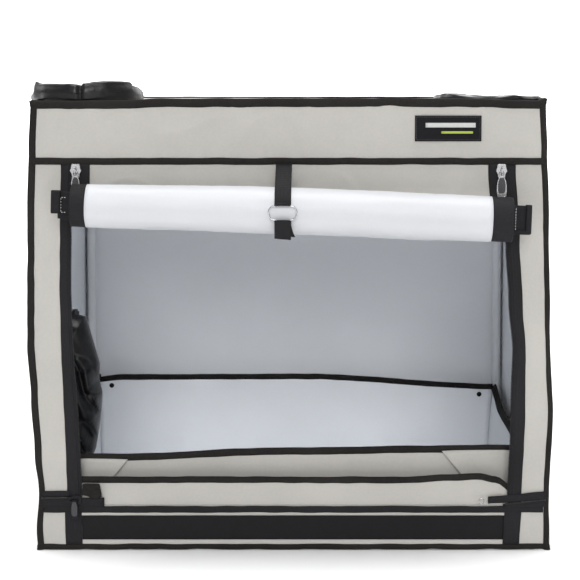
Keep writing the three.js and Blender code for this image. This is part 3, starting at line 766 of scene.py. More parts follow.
# The side tapes' width by height.
LEFT_WIDTH = [(0.07, 0.0230), (0.10, 0.0225), (0.20, 0.0210), (0.29, 0.0190), (0.36, 0.0172), (0.60, 0.0170)]
RIGHT_WIDTH = [(0.07, 0.0205), (0.10, 0.0215), (0.236, 0.0222), (0.32, 0.0200), (0.42, 0.0212),
               (0.60, 0.0200)]
tapes = bmesh.new()
coils = bmesh.new()
for sx, widths in ((-1, LEFT_WIDTH), (1, RIGHT_WIDTH)):
    def tape_height(share):
        """The height a share of the way down the fixed tape."""
        return TAPE_TOP + (BASE_TOP - 0.001 - TAPE_TOP) * share

    def tape_path(share, sx=sx, widths=widths):
        """Down the middle of the fixed tape."""
        z = tape_height(share)
        edge = hang(sx * TAPE_OUTER_X, -HALF_Y + 0.0003, z)
        return edge - X * (sx * along(widths, z) / 2)

    def coil_path(share, sx=sx, widths=widths):
        """Down the doorway's edge of the tape."""
        z = tape_height(share)
        edge = hang(sx * TAPE_OUTER_X, -HALF_Y - 0.0001, z)
        return edge - X * (sx * (along(widths, z) + 0.0003))

    def cord_path(share, sx=sx, widths=widths):
        """Down the raised line where the tape is sewn to the coil."""
        z = tape_height(share)
        edge = hang(sx * TAPE_OUTER_X, -HALF_Y - 0.0003, z)
        return edge - X * (sx * (along(widths, z) - 0.0058))

    def band_path(share, sx=sx):
        """Down the side band of the base."""
        z = BAND_TOP + (BAND_FOOT - BAND_TOP) * share
        return hang(sx * (OPENING_X + 0.0065), -HALF_Y + 0.0004, z)

    def tape_width(share, widths=widths):
        """The fixed tape's width a share of the way down."""
        return along(widths, tape_height(share))
    run = TAPE_TOP - BASE_TOP
    flat_tape(tapes, tape_path, tape_width, 0.0014, X, -Y, run, 0.0008)
    flat_tape(tapes, cord_path, 0.0030, 0.0013, X, -Y, run, 0.0002)
    flat_tape(tapes, band_path, 0.0262, 0.0016, X, -Y, 0.054, 0.0004)
    coil(coils, coil_path, run, 0.0022, (0.0017, 0.0011, 0.0009), 0.3)


BASE_SEAM_RUN = 2 * HALF_X - 0.022


def base_seam_path(share):
    """Along the tape over the base."""
    x = -HALF_X + 0.011 + BASE_SEAM_RUN * share
    return hang(x, -HALF_Y + 0.0003, 0.0643 + 0.0006 * rumple(x, 0, 0, 0.04, 6.0))


flat_tape(tapes, base_seam_path, 0.0106, 0.0020, Z, -Y, BASE_SEAM_RUN, 0.0008)


# The lower zip is closed round both corners. Each half has its own tape; at the left
# they run on past the doorway's edge, at the right they end in a folded tip.
def lower_tape(x0, x1, low0, low1, wide0, wide1, proud):
    """A half of the lower zip from x0 to x1, its lower edge and width at each end."""
    def wide(share):
        return wide0 + (wide1 - wide0) * share

    def path(share):
        x = x0 + (x1 - x0) * share
        z = low0 + (low1 - low0) * share + wide(share) / 2 + 0.0006 * rumple(x, 0, low0 * 90, 0.025, 3.0)
        return hang(x, -HALF_Y - proud, z)
    flat_tape(tapes, path, wide, 0.0024, Z, -Y, abs(x1 - x0))


def lower_coil(x0, x1, z0, z1):
    """The closed teeth between two halves of the lower zip."""
    def path(share):
        return hang(x0 + (x1 - x0) * share, -HALF_Y - 0.0022, z0 + (z1 - z0) * share)
    coil(coils, path, abs(x1 - x0), 0.0020, (0.0012, 0.0019, 0.0009), 0.5)


ZIP_END = HALF_X - 0.006
lower_tape(-ZIP_END, -0.2915, 0.0685, 0.0685, 0.0135, 0.0145, 0.0002)
lower_tape(-ZIP_END, -0.345, 0.0830, 0.0840, 0.0105, 0.0100, 0.0006)
lower_coil(-ZIP_END, -0.332, 0.0826, 0.0830)
lower_tape(0.322, ZIP_END, 0.0655, 0.0680, 0.0075, 0.0110, 0.0002)
lower_tape(0.2985, ZIP_END, 0.0735, 0.0800, 0.0112, 0.0135, 0.0012)
lower_coil(0.325, ZIP_END, 0.0734, 0.0798)
tape_piece = finish_piece(tapes, "zip_tapes", [webbing_black])
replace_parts(tape_piece, "zip_track")
finish_piece(coils, "zip_coils", [coil_finish])


# Sliders and pulls. A slider is cast metal: two plates on a wedge, and an arch that
# the pull's eye hangs in. A pull is a cast tag with a dark inlay in its sunk face.
def plated(name, colour, roughness):
    """Plated metal with faint handling marks."""
    material, nodes, links, shader = principled(name, colour, roughness, 1.0)
    marks = noise_on(nodes, links, nodes.new("ShaderNodeTexCoord").outputs["Object"], 420, 5)
    links.new(between(nodes, links, marks, roughness * 0.7, roughness * 1.6), shader.inputs["Roughness"])
    return material


zip_metal = plated("zip_nickel", (0.46, 0.46, 0.47), 0.22)
dark_metal = plated("zip_dark", (0.020, 0.020, 0.022), 0.35)
inlay_finish = grained_plastic("pull_inlay", (0.030, 0.030, 0.033), 0.5)
# Half outlines, in shares of the half width and half height.
SLIDER_OUTLINE = [(0, -1.0), (0.52, -1.0), (0.60, -0.85), (0.66, -0.45), (0.98, 0.02), (0.80, 0.45),
                  (0.72, 0.85), (0.62, 1.0), (0, 1.0)]
WEDGE_OUTLINE = [(0, -1), (0.9, -1), (1, 1), (0, 1)]
PULL_OUTLINE = [(0, -1.0), (0.50, -0.99), (0.78, -0.90), (0.93, -0.72), (0.99, -0.30), (0.98, 0.15),
                (0.82, 0.58), (0.62, 0.80), (0.55, 0.97), (0.40, 1.0), (0, 1.0)]
OVAL_OUTLINE = [(math.sin(a * TAU / 24), -math.cos(a * TAU / 24)) for a in range(13)]
SLIDER_HALF = (0.0086, 0.0105)
SLIDER_PLATE = 0.0012
# The arch's side view: height along the slider, and how far it stands out.
ARCH_LINE = [(-0.0062, -0.0038), (-0.0058, -0.0062), (-0.0030, -0.0084), (0.0010, -0.0090), (0.0044, -0.0076),
             (0.0058, -0.0056), (0.0058, -0.0038)]
# The right half of a pull's eye: place across, and height over the tag's top.
EYE_LINE = [(0.0020, 0.0068), (0.0034, 0.0035), (0.0030, -0.002)]


def outlined_plate(bm, outline, half, depth, matrix, rim=0.0, sink=0.0):
    """Adds a plate with a mirrored outline, front face towards -Y, and a sunk field
    inside its rim."""
    right = [(x * half[0], z * half[1]) for x, z in outline]
    left = [(-x, z) for x, z in reversed(right[1:-1])]
    verts = [bm.verts.new((x, 0, z)) for x, z in right + left]
    face = bm.faces.new(verts)
    made = bmesh.ops.extrude_face_region(bm, geom=[face])
    front = [item for item in made["geom"] if isinstance(item, bmesh.types.BMFace)]
    moved = [item for item in made["geom"] if isinstance(item, bmesh.types.BMVert)]
    bmesh.ops.translate(bm, verts=moved, vec=(0, -depth, 0))
    body = verts + moved
    if rim:
        inset = bmesh.ops.inset_region(bm, faces=front, thickness=rim, depth=0)
        inner = list(dict.fromkeys(v for f in front for v in f.verts))
        body += [v for f in inset["faces"] for v in f.verts if v not in body]
        sunk = bmesh.ops.extrude_face_region(bm, geom=front)
        low_verts = [item for item in sunk["geom"] if isinstance(item, bmesh.types.BMVert)]
        bmesh.ops.delete(bm, geom=front, context="FACES_ONLY")
        bmesh.ops.translate(bm, verts=low_verts, vec=(0, sink, 0))
        body += low_verts + [v for v in inner if v not in body]
    body = list(dict.fromkeys(body))
    bmesh.ops.transform(bm, matrix=matrix, verts=body)
    faces = list(dict.fromkeys(face for vert in body for face in vert.link_faces))
    bmesh.ops.recalc_face_normals(bm, faces=faces)


def bent_wire(bm, points, radius, around=10):
    """Adds a round wire along points."""
    def place(share, turn):
        at = share * (len(points) - 1)
        index = min(int(at), len(points) - 2)
        centre = points[index].lerp(points[index + 1], at - index)
        ahead = (points[min(index + 1, len(points) - 1)] - points[max(index, 0)]).normalized()
        side_way = ahead.cross(Y if abs(ahead.y) < 0.9 else X).normalized()
        other = ahead.cross(side_way)
        angle = turn * TAU
        return centre + side_way * (radius * math.cos(angle)) + other * (radius * math.sin(angle))
    length = sum((b - a).length for a, b in zip(points, points[1:]))
    loft(bm, (len(points) - 1) * 2, around, place, length, TAU * radius)


for side in ("left", "right", "bottom"):
    metal = dark_metal if side == "bottom" else zip_metal
    low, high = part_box(f"zip_slider_{side}")
    middle = (low + high) / 2
    turn = Matrix.Rotation(TAU / 4 if side == "bottom" else 0, 4, "Y")
    nudge = Vector((-0.0035, 0, 0.0025)) if side == "bottom" else Vector()
    at_slider = Matrix.Translation(Vector((middle.x, high.y, middle.z)) + nudge) @ turn
    slider = bmesh.new()
    for proud in (0, -0.0030):
        at_plate = at_slider @ Matrix.Translation((0, proud, 0))
        outlined_plate(slider, SLIDER_OUTLINE, SLIDER_HALF, SLIDER_PLATE, at_plate)
    at_wedge = at_slider @ Matrix.Translation((0, -0.0009, -0.0050))
    outlined_plate(slider, WEDGE_OUTLINE, (0.0022, 0.0030), 0.0024, at_wedge)
    bent_wire(slider, [at_slider @ Vector((0, y, z)) for z, y in ARCH_LINE], 0.00125)
    slider_piece = finish_piece(slider, f"slider_{side}_casting", [metal], f"slider_{side}")
    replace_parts(eased(slider_piece, 0.0004), f"zip_slider_{side}")

    low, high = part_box(f"zip_pull_{side}")
    middle = (low + high) / 2
    wide = (high.x - low.x) / 2
    tall = (high.z - low.z) / 2 - (0 if side == "bottom" else 0.0045)
    centre_z = middle.z if side == "bottom" else low.z + tall
    at_pull = Matrix.Translation(Vector((middle.x, low.y + 0.0019, centre_z)) + nudge)
    pull = bmesh.new()
    outlined_plate(pull, PULL_OUTLINE, (wide, tall), 0.0018, at_pull, rim=0.0013, sink=0.0007)
    if side != "bottom":
        eye = [(-x, z) for x, z in reversed(EYE_LINE)] + [(0, 0.0078)] + EYE_LINE
        bent_wire(pull, [at_pull @ Vector((x, -0.0009, tall + z)) for x, z in eye], 0.0010)
    pull_piece = finish_piece(pull, f"pull_{side}_casting", [metal], f"pull_{side}")
    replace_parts(eased(pull_piece, 0.00035), f"zip_pull_{side}")
    inlay = bmesh.new()
    at_inlay = at_pull @ Matrix.Translation((0, -0.0008, tall * 0.14))
    outlined_plate(inlay, PULL_OUTLINE, (wide - 0.0018, tall * 0.72), 0.0011, at_inlay)
    at_oval = at_pull @ Matrix.Translation((0, -0.0018, tall * 0.05))
    outlined_plate(inlay, OVAL_OUTLINE, (wide * 0.42, tall * 0.44), 0.0005, at_oval)
    eased(finish_piece(inlay, f"pull_{side}_inlay", [inlay_finish], f"pull_{side}"), 0.0003)

# Rolled door. The door is cut as one cloth and rolled up from its hem, liner out, so
# its edges' zip tapes make a black end on each side; a hem tab sticks out of each.
door_low, door_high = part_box("door_roll")
turn_joint = next(joint for joint in frame["joints"] if joint["name"] == "door_turn")
ROLL_CENTRE = Vector(turn_joint["pos_m"])
ROLL_AXIS = Vector(turn_joint["axis"]).normalized()
ROLL_UP = Vector((-ROLL_AXIS.z, 0, ROLL_AXIS.x))
ROLL_TURNS = 2.6
ROLL_PITCH = 0.0036
ROLL_MEAN_RADIUS = 0.029
ROLL_RADIUS = [(-0.31, 0.0340), (0.0, 0.0372), (0.31, 0.0362)]
ROLL_LIFT = [(-0.31, 0.0015), (0.0, 0.0024), (0.31, -0.0005)]
# The roll's liner is a darker copy of the liner finish: painted shade that tones the roll down under the
# strong front light.
door_liner_shaded = woven("door_liner_painted_shade", (0.53, 0.54, 0.565), 0.5, 0.0019, 0.00012, 0.02, 0.05)


def on_roll_axis(x):
    """The middle of the roll at a place along it."""
    return ROLL_CENTRE + ROLL_AXIS * (x - ROLL_CENTRE.x)


def roll_point(x, turns, radius):
    """A point of the rolled cloth, that many turns in from the roll's back. The cloth
    is a little uneven along the roll, differently in each turn."""
    angle = -turns * TAU
    sine, cosine = math.sin(angle), math.cos(angle)
    out = radius - ROLL_PITCH * turns
    uneven = 0.0011 * rumple(x * 0.18, cosine * 0.035, sine * 0.035, 0.014, math.floor(turns))
    uneven += 0.0005 * rumple(x * 0.6, cosine * 0.03, sine * 0.03, 0.009, 4.0)
    out += uneven
    return on_roll_axis(x) + Y * (out * cosine) + ROLL_UP * (out * sine + along(ROLL_LIFT, x))


def wound(name, x0, x1, shrink, finish, cells, layer=0.0012):
    """The part of the rolled cloth between two places along the roll."""
    bm = bmesh.new()
    length = TAU * ROLL_MEAN_RADIUS * ROLL_TURNS

    def place(u, v):
        x = x0 + u
        return roll_point(x, v / length * ROLL_TURNS, along(ROLL_RADIUS, x) - shrink)
    lay_grid(bm, x1 - x0, length, cells, place)
    return thicken(finish_piece(bm, name, [finish], "door_roll"), layer, False), length


white_left, white_right = door_low.x, door_high.x
roll, roll_length = wound("door_rolled_cloth", white_left, white_right, 0.0, door_liner_shaded,
                          (0.006, 0.004))
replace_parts(roll, "door_roll")
for side, inner, outer in (("left", white_left - 0.0002, -0.3215), ("right", white_right + 0.0002, 0.3375)):
    x0, x1 = min(inner, outer), max(inner, outer)
    wound(f"door_end_{side}", x0, x1, 0.0004, webbing_black, (0.0026, 0.004), 0.0016)
    tab_low, tab_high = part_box(f"door_zip_tape_{side}")
    sx = -1 if side == "left" else 1
    tip = tab_low.x + 0.0005 if side == "left" else tab_high.x - 0.0005
    root = outer - sx * 0.016
    tab = bmesh.new()

    def tab_bar(x0, x1, low, high, depth, power=0.3):
        """A folded part of the tab, with soft corners."""
        def place(share, around):
            x = x0 + (x1 - x0) * share
            angle = around * TAU
            ends = min(1, 0.80 + 2.2 * min(share, 1 - share)) if depth > 0.004 else 1
            tall = squared(math.sin(angle), power) * (0.955 + 0.045 * ends)
            deep = depth * ends * squared(math.cos(angle), 0.5)
            deep += 0.0005 * rumple(x, deep, tall, 0.01, 2.0)
            rise = (low + high) / 2 + (high - low) / 2 * tall
            return on_roll_axis(x) + Y * deep + ROLL_UP * rise
        loft(tab, max(4, round(abs(x1 - x0) / 0.0016)), 40, place, abs(x1 - x0), 0.09)
    if side == "left":
        tab_bar(root, tip + 0.010, -0.0200, 0.0205, 0.0030)
        tab_bar(tip + 0.0145, tip, -0.0125, 0.0225, 0.0068)
        tab_bar(root, tip + 0.0165, -0.0215, -0.0150, 0.0058, 0.6)
    else:
        tab_bar(root, tip - 0.006, -0.0200, 0.0205, 0.0030)
        tab_bar(tip - 0.0090, tip, -0.0225, 0.0218, 0.0068)
        tab_bar(root, tip - 0.002, -0.0232, -0.0165, 0.0062, 0.6)
    tab_piece = finish_piece(tab, f"hem_tab_{side}", [webbing_black], "door_roll")
    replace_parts(tab_piece, f"door_zip_tape_{side}")

# Thread. White stitches hold the hem tabs; each is a short fat loop of thread.
thread_white, _, _, _ = principled("white_thread", (0.72, 0.72, 0.70), 0.7)


def stitches(bm, start, end, count, radius, gap=0.35):
    """A row of stitches from start to end."""
    start, end = Vector(start), Vector(end)
    step = (end - start) / count
    turn = step.to_track_quat("Z", "Y").to_matrix().to_4x4()
    shape = Matrix.Diagonal((radius, radius, step.length * (1 - gap) / 2, 1))
    for index in range(count):
        stitch = Matrix.Translation(start + step * (index + 0.5)) @ turn @ shape
        bmesh.ops.create_icosphere(bm, subdivisions=1, radius=1, matrix=stitch)


def on_tab(x, height, depth=-0.0033):
    """A point on the front of a hem tab."""
    return on_roll_axis(x) + Y * depth + ROLL_UP * height


tab_thread = bmesh.new()
TAB_SEAMS = [
    ((-0.3375, 0.012), (-0.3375, -0.010), 5), ((-0.3375, 0.012), (-0.3300, 0.012), 2),
    ((-0.3375, -0.010), (-0.3300, -0.010), 2), ((0.3425, 0.017), (0.3425, -0.017), 8),
]
for start, end, count in TAB_SEAMS:
    stitches(tab_thread, on_tab(*start), on_tab(*end), count, 0.0006)
finish_piece(tab_thread, "hem_tab_thread", [thread_white], "door_roll")

# Door flap. Between the header and the roll the door still hangs flat: grey canvas
# with the moving halves of the zips down its sides.
flap_low, flap_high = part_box("door_flap")
FLAP_TOP = SEAM_Z - 0.003
FLAP_FOOT = Vector((0, -0.3165, 0.5485))
FLAP_TUCK = 0.010
FLAP_LENGTH = FLAP_TOP - FLAP_FOOT.z + FLAP_TUCK
FLAP_Y = -0.2990


def flap_line(share):
    """Down the flap from the seam to the back of the roll."""
    return FLAP_Y + (FLAP_FOOT.y - FLAP_Y) * share ** 6, FLAP_TOP - FLAP_LENGTH * share


def flap_place(u, v):
    """The flap's canvas, a little loose."""
    x = flap_low.x + u
    y, z = flap_line(1 - v / FLAP_LENGTH)
    fold = 0.0016 * crease(x + 0.6 * z, 0, z - 0.3 * x, 0.085, 9.0) + 0.0014 * abs(rumple(x, 0, z, 0.05, 9.0))
    free = min(1, max(0, SEAM_Z - 0.007 - z) / 0.02) * min(1, max(0, 0.31 - abs(x)) / 0.03)
    return hang(x, y, z) + Vector((0, -fold * free, 0))


flap_size = (flap_high.x - flap_low.x, FLAP_LENGTH)
FLAP_CELL = (0.005, 0.004)
flap = cloth_piece("door_flap_cloth", flap_size, FLAP_CELL, flap_place, [canvas, liner], body=None)
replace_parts(flap, "door_flap")
moving_tapes = bmesh.new()
for sx, tape_x in ((-1, 0.3182), (1, 0.3205)):
    def moving_path(share, sx=sx, tape_x=tape_x):
        """Down the moving half of a zip."""
        y, z = flap_line(share)
        return hang(sx * tape_x, y - 0.0012, z)
    flat_tape(moving_tapes, moving_path, 0.0255, 0.0013, X, -Y, flap_size[1], 0.0004)
moving_tape = finish_piece(moving_tapes, "door_tape_tops", [webbing_black], body=None)
for piece in (flap, moving_tape):
    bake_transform(piece)

# Roll strap. A black webbing strap comes down from the header over the roll to an
# oval ring; its other end passes under the roll and up through the ring.
strap_low, strap_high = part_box("strap_upper")
STRAP_X = (strap_low.x + strap_high.x) / 2
STRAP_WIDTH = strap_high.x - strap_low.x
ring_low, ring_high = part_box("strap_ring")
ring_centre = (ring_low + ring_high) / 2
RING_WIRE = 0.00125
STRAP_LIFT = along(ROLL_LIFT, 0.0)
UPPER_WRAP = 0.0388
LOWER_WRAP = 0.0381


def orbit(degrees, radius):
    """A point round the roll where the strap passes."""
    angle = math.radians(degrees)
    offset = Vector((0, radius * math.cos(angle), radius * math.sin(angle) + STRAP_LIFT))
    return on_roll_axis(STRAP_X) + offset


def strap_point(points, share):
    """A point on the line through the given ones, a share of the way along it."""
    share = min(max(share, 0), 1)
    at = share * (len(points) - 1)
    index = min(int(at), len(points) - 2)
    return points[index].lerp(points[index + 1], at - index)


def webbing(name, points, width, body, node, thickness=0.0016):
    """A flat strap along points in the plane across the roll."""
    bm = bmesh.new()
    length = sum((b - a).length for a, b in zip(points, points[1:]))
    section = round_section(16)

    def place(share, around):
        s, t = section_point(section, around)
        s = squared(s, 0.35)
        ahead = (strap_point(points, share + 0.02) - strap_point(points, share - 0.02)).normalized()
        outward = ahead.cross(X)
        cup = 0.0005 * s * s
        return strap_point(points, share) + X * (s * width / 2) + outward * (t * thickness / 2 + cup)
    loft(bm, round(length / 0.0025), len(section), place, length, 2 * width)
    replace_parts(finish_piece(bm, name, [webbing_black], body), node)


def near_ring(out, height):
    """A point of the strap that far in front of the ring's middle, at a height."""
    return Vector((STRAP_X, ring_centre.y - out, height))


strap_top = Vector((STRAP_X, strap_high.y - 0.0004, strap_high.z))
bar_z = ring_low.z + RING_WIRE
upper_line = [strap_top, strap_top.lerp(orbit(119.5, UPPER_WRAP), 0.5)]
upper_line += [orbit(angle, UPPER_WRAP) for angle in (119.5, 126, 133, 140, 147, 155, 161)]
for out, up in ((0.0014, 0.0006), (0.0020, -0.0008), (0.0012, -0.0026)):
    upper_line.append(near_ring(out, ring_high.z + up))
webbing("strap_upper_webbing", upper_line, STRAP_WIDTH - 0.0005, "strap", "strap_upper", 0.0018)
lower_line = [near_ring(0.0014, bar_z + 0.0016), near_ring(-0.0002, bar_z - 0.0018)]
lower_line += [orbit(angle, LOWER_WRAP) for angle in range(204, 308, 8)]
webbing("strap_lower_webbing", lower_line, STRAP_WIDTH - 0.0002, "door", "strap_lower")


def strap_tail(name, lean, flare, top, foot_left, foot_right, depth):
    """A loose end of the strap below the ring, cut on the slant."""
    bm = bmesh.new()

    def place(share, around):
        s, t = section_point(round_section(16), around)
        s = squared(s, 0.35)
        foot = foot_left + (foot_right - foot_left) * (s + 1) / 2
        z = top + (foot - top) * share
        x = STRAP_X + s * (STRAP_WIDTH / 2 - 0.0003) + lean * share + flare * share * share * max(s, 0)
        y = ring_centre.y - depth + 0.0070 * share + t * 0.0008 + 0.0012 * math.sin(share * 3.2 + s)
        return Vector((x, y, z))
    loft(bm, 20, 16, place, top - foot_left, 0.04)
    finish_piece(bm, name, [webbing_black], "door")


strap_tail("strap_tail_front", -0.0004, 0.0002, bar_z + 0.0012, bar_z - 0.0262, bar_z - 0.0282, 0.0024)
strap_tail("strap_tail_back", 0.0016, 0.0046, bar_z - 0.0030, bar_z - 0.0225, bar_z - 0.0240, 0.0004)
chrome = plated("bright_chrome", (0.52, 0.52, 0.54), 0.12)


def closed_loop(steps, around, place, tolerance=1e-6):
    """A mesh like a ring or a bag's mouth: a grid whose edges meet, laid by a rule."""
    bm = bmesh.new()
    bm.loops.layers.uv.verify()
    grid = bmesh.ops.create_grid(bm, x_segments=steps, y_segments=around, size=0.5)
    for vert in grid["verts"]:
        vert.co = place(vert.co.x + 0.5, vert.co.y + 0.5)
    bmesh.ops.remove_doubles(bm, verts=bm.verts, dist=tolerance)
    return bm


def ring_place(share, around):
    """Round wire bent to an oval."""
    half_run = (ring_high.x - ring_low.x - (ring_high.z - ring_low.z)) / 2
    bend = (ring_high.z - ring_low.z) / 2 - RING_WIRE
    angle = share * TAU
    run = half_run * max(-1, min(1, 1.35 * math.cos(angle)))
    centre = ring_centre + Vector((run + bend * math.cos(angle), 0, bend * math.sin(angle)))
    out = Vector((math.cos(angle), 0, math.sin(angle)))
    return centre + out * (RING_WIRE * math.cos(around * TAU)) + Y * (RING_WIRE * math.sin(around * TAU))


ring_loop = closed_loop(72, 14, ring_place)
bmesh.ops.recalc_face_normals(ring_loop, faces=ring_loop.faces)
ring = finish_piece(ring_loop, "ring_wire", [chrome], "ring")
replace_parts(ring, "strap_ring")

# Sill. A low flap of canvas, bound along its top, closes the foot of the doorway.
sill_low, sill_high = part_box("sill_flap")
SILL_TOP = [(-0.34, 0.1135), (0.17, 0.1130), (0.245, 0.1172), (0.283, 0.1188), (0.310, 0.1135),
            (0.345, 0.092)]
SILL_RISE = 0.044
SILL_FOOT = BASE_TOP - 0.004


def sill_bow(x, z):
    """How far the sill's canvas leans in or out."""
    return 0.0016 * rumple(x, 0, z, 0.07, 5.0)


def sill_place(u, v):
    """The sill's canvas, a little slack along its top."""
    x = sill_low.x + u
    z = SILL_FOOT + (along(SILL_TOP, x) - SILL_FOOT) * v / SILL_RISE
    return hang(x, sill_low.y + sill_bow(x, z) * v / SILL_RISE, z)


sill_size = (sill_high.x - sill_low.x, SILL_RISE)
sill = cloth_piece("sill_cloth", sill_size, (0.010, 0.006), sill_place, [canvas, liner], 0.001)
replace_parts(sill, "sill_flap")
sill_tape = bmesh.new()


def sill_edge(share):
    """Along the sill's top edge."""
    x = sill_low.x + 0.002 + (sill_size[0] - 0.002) * share
    top = along(SILL_TOP, x)
    return hang(x, sill_low.y + sill_bow(x, top), top - 0.003)


flat_tape(sill_tape, sill_edge, 0.0105, 0.0032, Z, -Y, sill_size[0] + 0.002, 0.0009)
finish_piece(sill_tape, "sill_tape", [tape_black])

# Spill tray. A shallow bag of the same cloth, white inside, stands in the tent. Its
# soft walls lean and sag, its rim is bound, and its corners are folded over.
tray_low, tray_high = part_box("tray")
TRAY_WALL = 0.148
TRAY_CLOTH = 0.0012
# How high each wall's rim stands, by place along the wall.
FRONT_RIM = [(-0.38, 0.1400), (-0.312, 0.1422), (-0.265, 0.1418), (0.0, 0.1522), (0.331, 0.1560),
             (0.38, 0.1550)]
BACK_RIM = [(-0.38, 0.1650), (-0.33, 0.1705), (0.02, 0.1715), (0.385, 0.1515)]
LEFT_RIM = [(-0.28, 0.1400), (0.05, 0.1450), (0.28, 0.1715)]
RIGHT_RIM = [(-0.28, 0.1545), (-0.05, 0.1300), (0.13, 0.1290), (0.28, 0.1510)]
RIMS = {"front": FRONT_RIM, "back": BACK_RIM, "left": LEFT_RIM, "right": RIGHT_RIM}


def tray_wall_point(side, t, rise):
    """A point on a tray wall: t runs along it, rise from 0 at the floor to 1."""
    height = tray_low.z + (along(RIMS[side], t) - tray_low.z) * rise
    lean = rise * rise
    half_length = tray_high.x if side in ("front", "back") else tray_high.y
    loose = min(1, max((half_length - abs(t)) / 0.05, 0)) * min(1, 2 * rise)
    bulge = 0.0025 * rumple(t, 3.0 if side == "back" else 0.0, height, 0.08, 2.5) * loose
    if side == "front":
        return Vector((t, tray_low.y + 0.001 - bulge, height))
    if side == "back":
        stretch = 1 + 0.020 * lean * (t > 0) * (t / tray_high.x)
        return Vector((t * stretch, tray_high.y - 0.002 - bulge, height))
    if side == "left":
        return Vector((tray_low.x + 0.001 + abs(bulge), t, height))
    return Vector((tray_high.x - 0.001 + 0.0100 * lean, t, height))


tray_bag = bmesh.new()
wide, deep = tray_high.x - tray_low.x - 0.002, tray_high.y - tray_low.y - 0.002
TRAY_SIDES = (("front", wide), ("back", wide), ("left", deep), ("right", deep))
for side, length in TRAY_SIDES:
    ahead = side in ("front", "right")

    def tray_place(u, v, side=side, length=length, ahead=ahead):
        """One wall, laid with its outer face out."""
        t = -length / 2 + u if ahead else length / 2 - u
        return tray_wall_point(side, t, v / TRAY_WALL)
    lay_grid(tray_bag, length, TRAY_WALL, (0.010, 0.010), tray_place)


def tray_floor_place(u, v):
    """The tray's floor, seen from below as its outer face."""
    x, y = wide / 2 - u, -deep / 2 + v
    return Vector((x, y, tray_low.z + 0.0002 + 0.0003 * abs(rumple(x, y, 0, 0.06))))


lay_grid(tray_bag, wide, deep, (0.020, 0.020), tray_floor_place)
bmesh.ops.remove_doubles(tray_bag, verts=tray_bag.verts, dist=3e-4)
tray = thicken(finish_piece(tray_bag, "tray_cloth", [canvas, liner], "tray"), TRAY_CLOTH)
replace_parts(tray, "tray")
tray_tape = bmesh.new()
for side, length in TRAY_SIDES:
    inward = {"front": Y, "back": -Y, "left": X, "right": -X}[side]
    tape_width = {"front": 0.0118, "back": 0.0108}.get(side, 0.0100)

    def rim_path(share, side=side, length=length, inward=inward, tape_width=tape_width):
        """Along one side of the tray's rim, in the middle of its cloth."""
        point = tray_wall_point(side, -length / 2 + length * share, 1 - 0.3 * tape_width / TRAY_WALL)
        return point + inward * (TRAY_CLOTH / 2) + Z * (0.1 * tape_width)
    up_rim = Vector((0.7, 0, 1)) if side == "right" else Z
    flat_tape(tray_tape, rim_path, tape_width, 0.0050, up_rim, inward, length, 0.0007)
finish_piece(tray_tape, "tray_rim_tape", [tape_black], "tray")

# Tray corners: the spare cloth of each front corner is folded flat against the front
# and shows as a slanting edge; press studs hold the back corners.
GUSSET_SIZE = (0.13, 0.132)
GUSSET_FOOT_X = 0.353
GUSSET_OUTER_X = 0.370
GUSSET_FOOT = 0.012
for side, sx, top_x in (("left", -1, 0.2507), ("right", 1, 0.2400)):
    def gusset_place(u, v, sx=sx, top_x=top_x):
        """The folded corner, from its slanting edge out to the tray's corner."""
        rise = v / GUSSET_SIZE[1]
        slant = GUSSET_FOOT_X + (top_x - GUSSET_FOOT_X) * rise
        x = sx * (slant + (GUSSET_OUTER_X - slant) * u / GUSSET_SIZE[0])
        top = along(FRONT_RIM, x) - 0.004
        z = GUSSET_FOOT + (top - GUSSET_FOOT) * rise
        lift = 0.0020 + 0.0040 * math.exp(-u / 0.012)
        return Vector((x, tray_low.y - 0.0004 - lift, z))
    gusset = bmesh.new()
    lay_grid(gusset, *GUSSET_SIZE, (0.0065, 0.0066), gusset_place)
    if sx < 0:
        bmesh.ops.reverse_faces(gusset, faces=gusset.faces)
    thicken(finish_piece(gusset, f"tray_fold_{side}", [canvas], "tray"), 0.0014, False)
studs = bmesh.new()
stud_profile = [(0.0, 0.0), (0.0044, 0.0), (0.0046, 0.0010), (0.0034, 0.0022), (0.0020, 0.0027),
                (0.0, 0.0028)]
for x in (-0.3478, 0.3525):
    z = along(BACK_RIM, x) - 0.0170
    turn = Matrix.Rotation(TAU / 4, 4, "X")
    turned(studs, stud_profile, 24, Matrix.Translation((x, tray_high.y - 0.0030, z)) @ turn)
finish_piece(studs, "press_studs", [dark_metal], "tray")

# Nylon sleeves. Thin glossy black nylon hangs limp inside the left wall's port and
# is bunched down round each roof port; a cord lock closes the wall sleeve.
nylon, nodes, links, shader = principled("black_nylon", (0.0050, 0.0050, 0.0060), 0.36)
shader.inputs["Sheen Weight"].default_value = 0.0
shader.inputs["Specular IOR Level"].default_value = 0.36
crinkle = noise_on(nodes, links, nodes.new("ShaderNodeTexCoord").outputs["Object"], 70, 6, 1.4)
links.new(relief_of(nodes, links, crinkle, 0.55, 0.0012), shader.inputs["Normal"])
links.new(between(nodes, links, crinkle, 0.24, 0.42), shader.inputs["Roughness"])

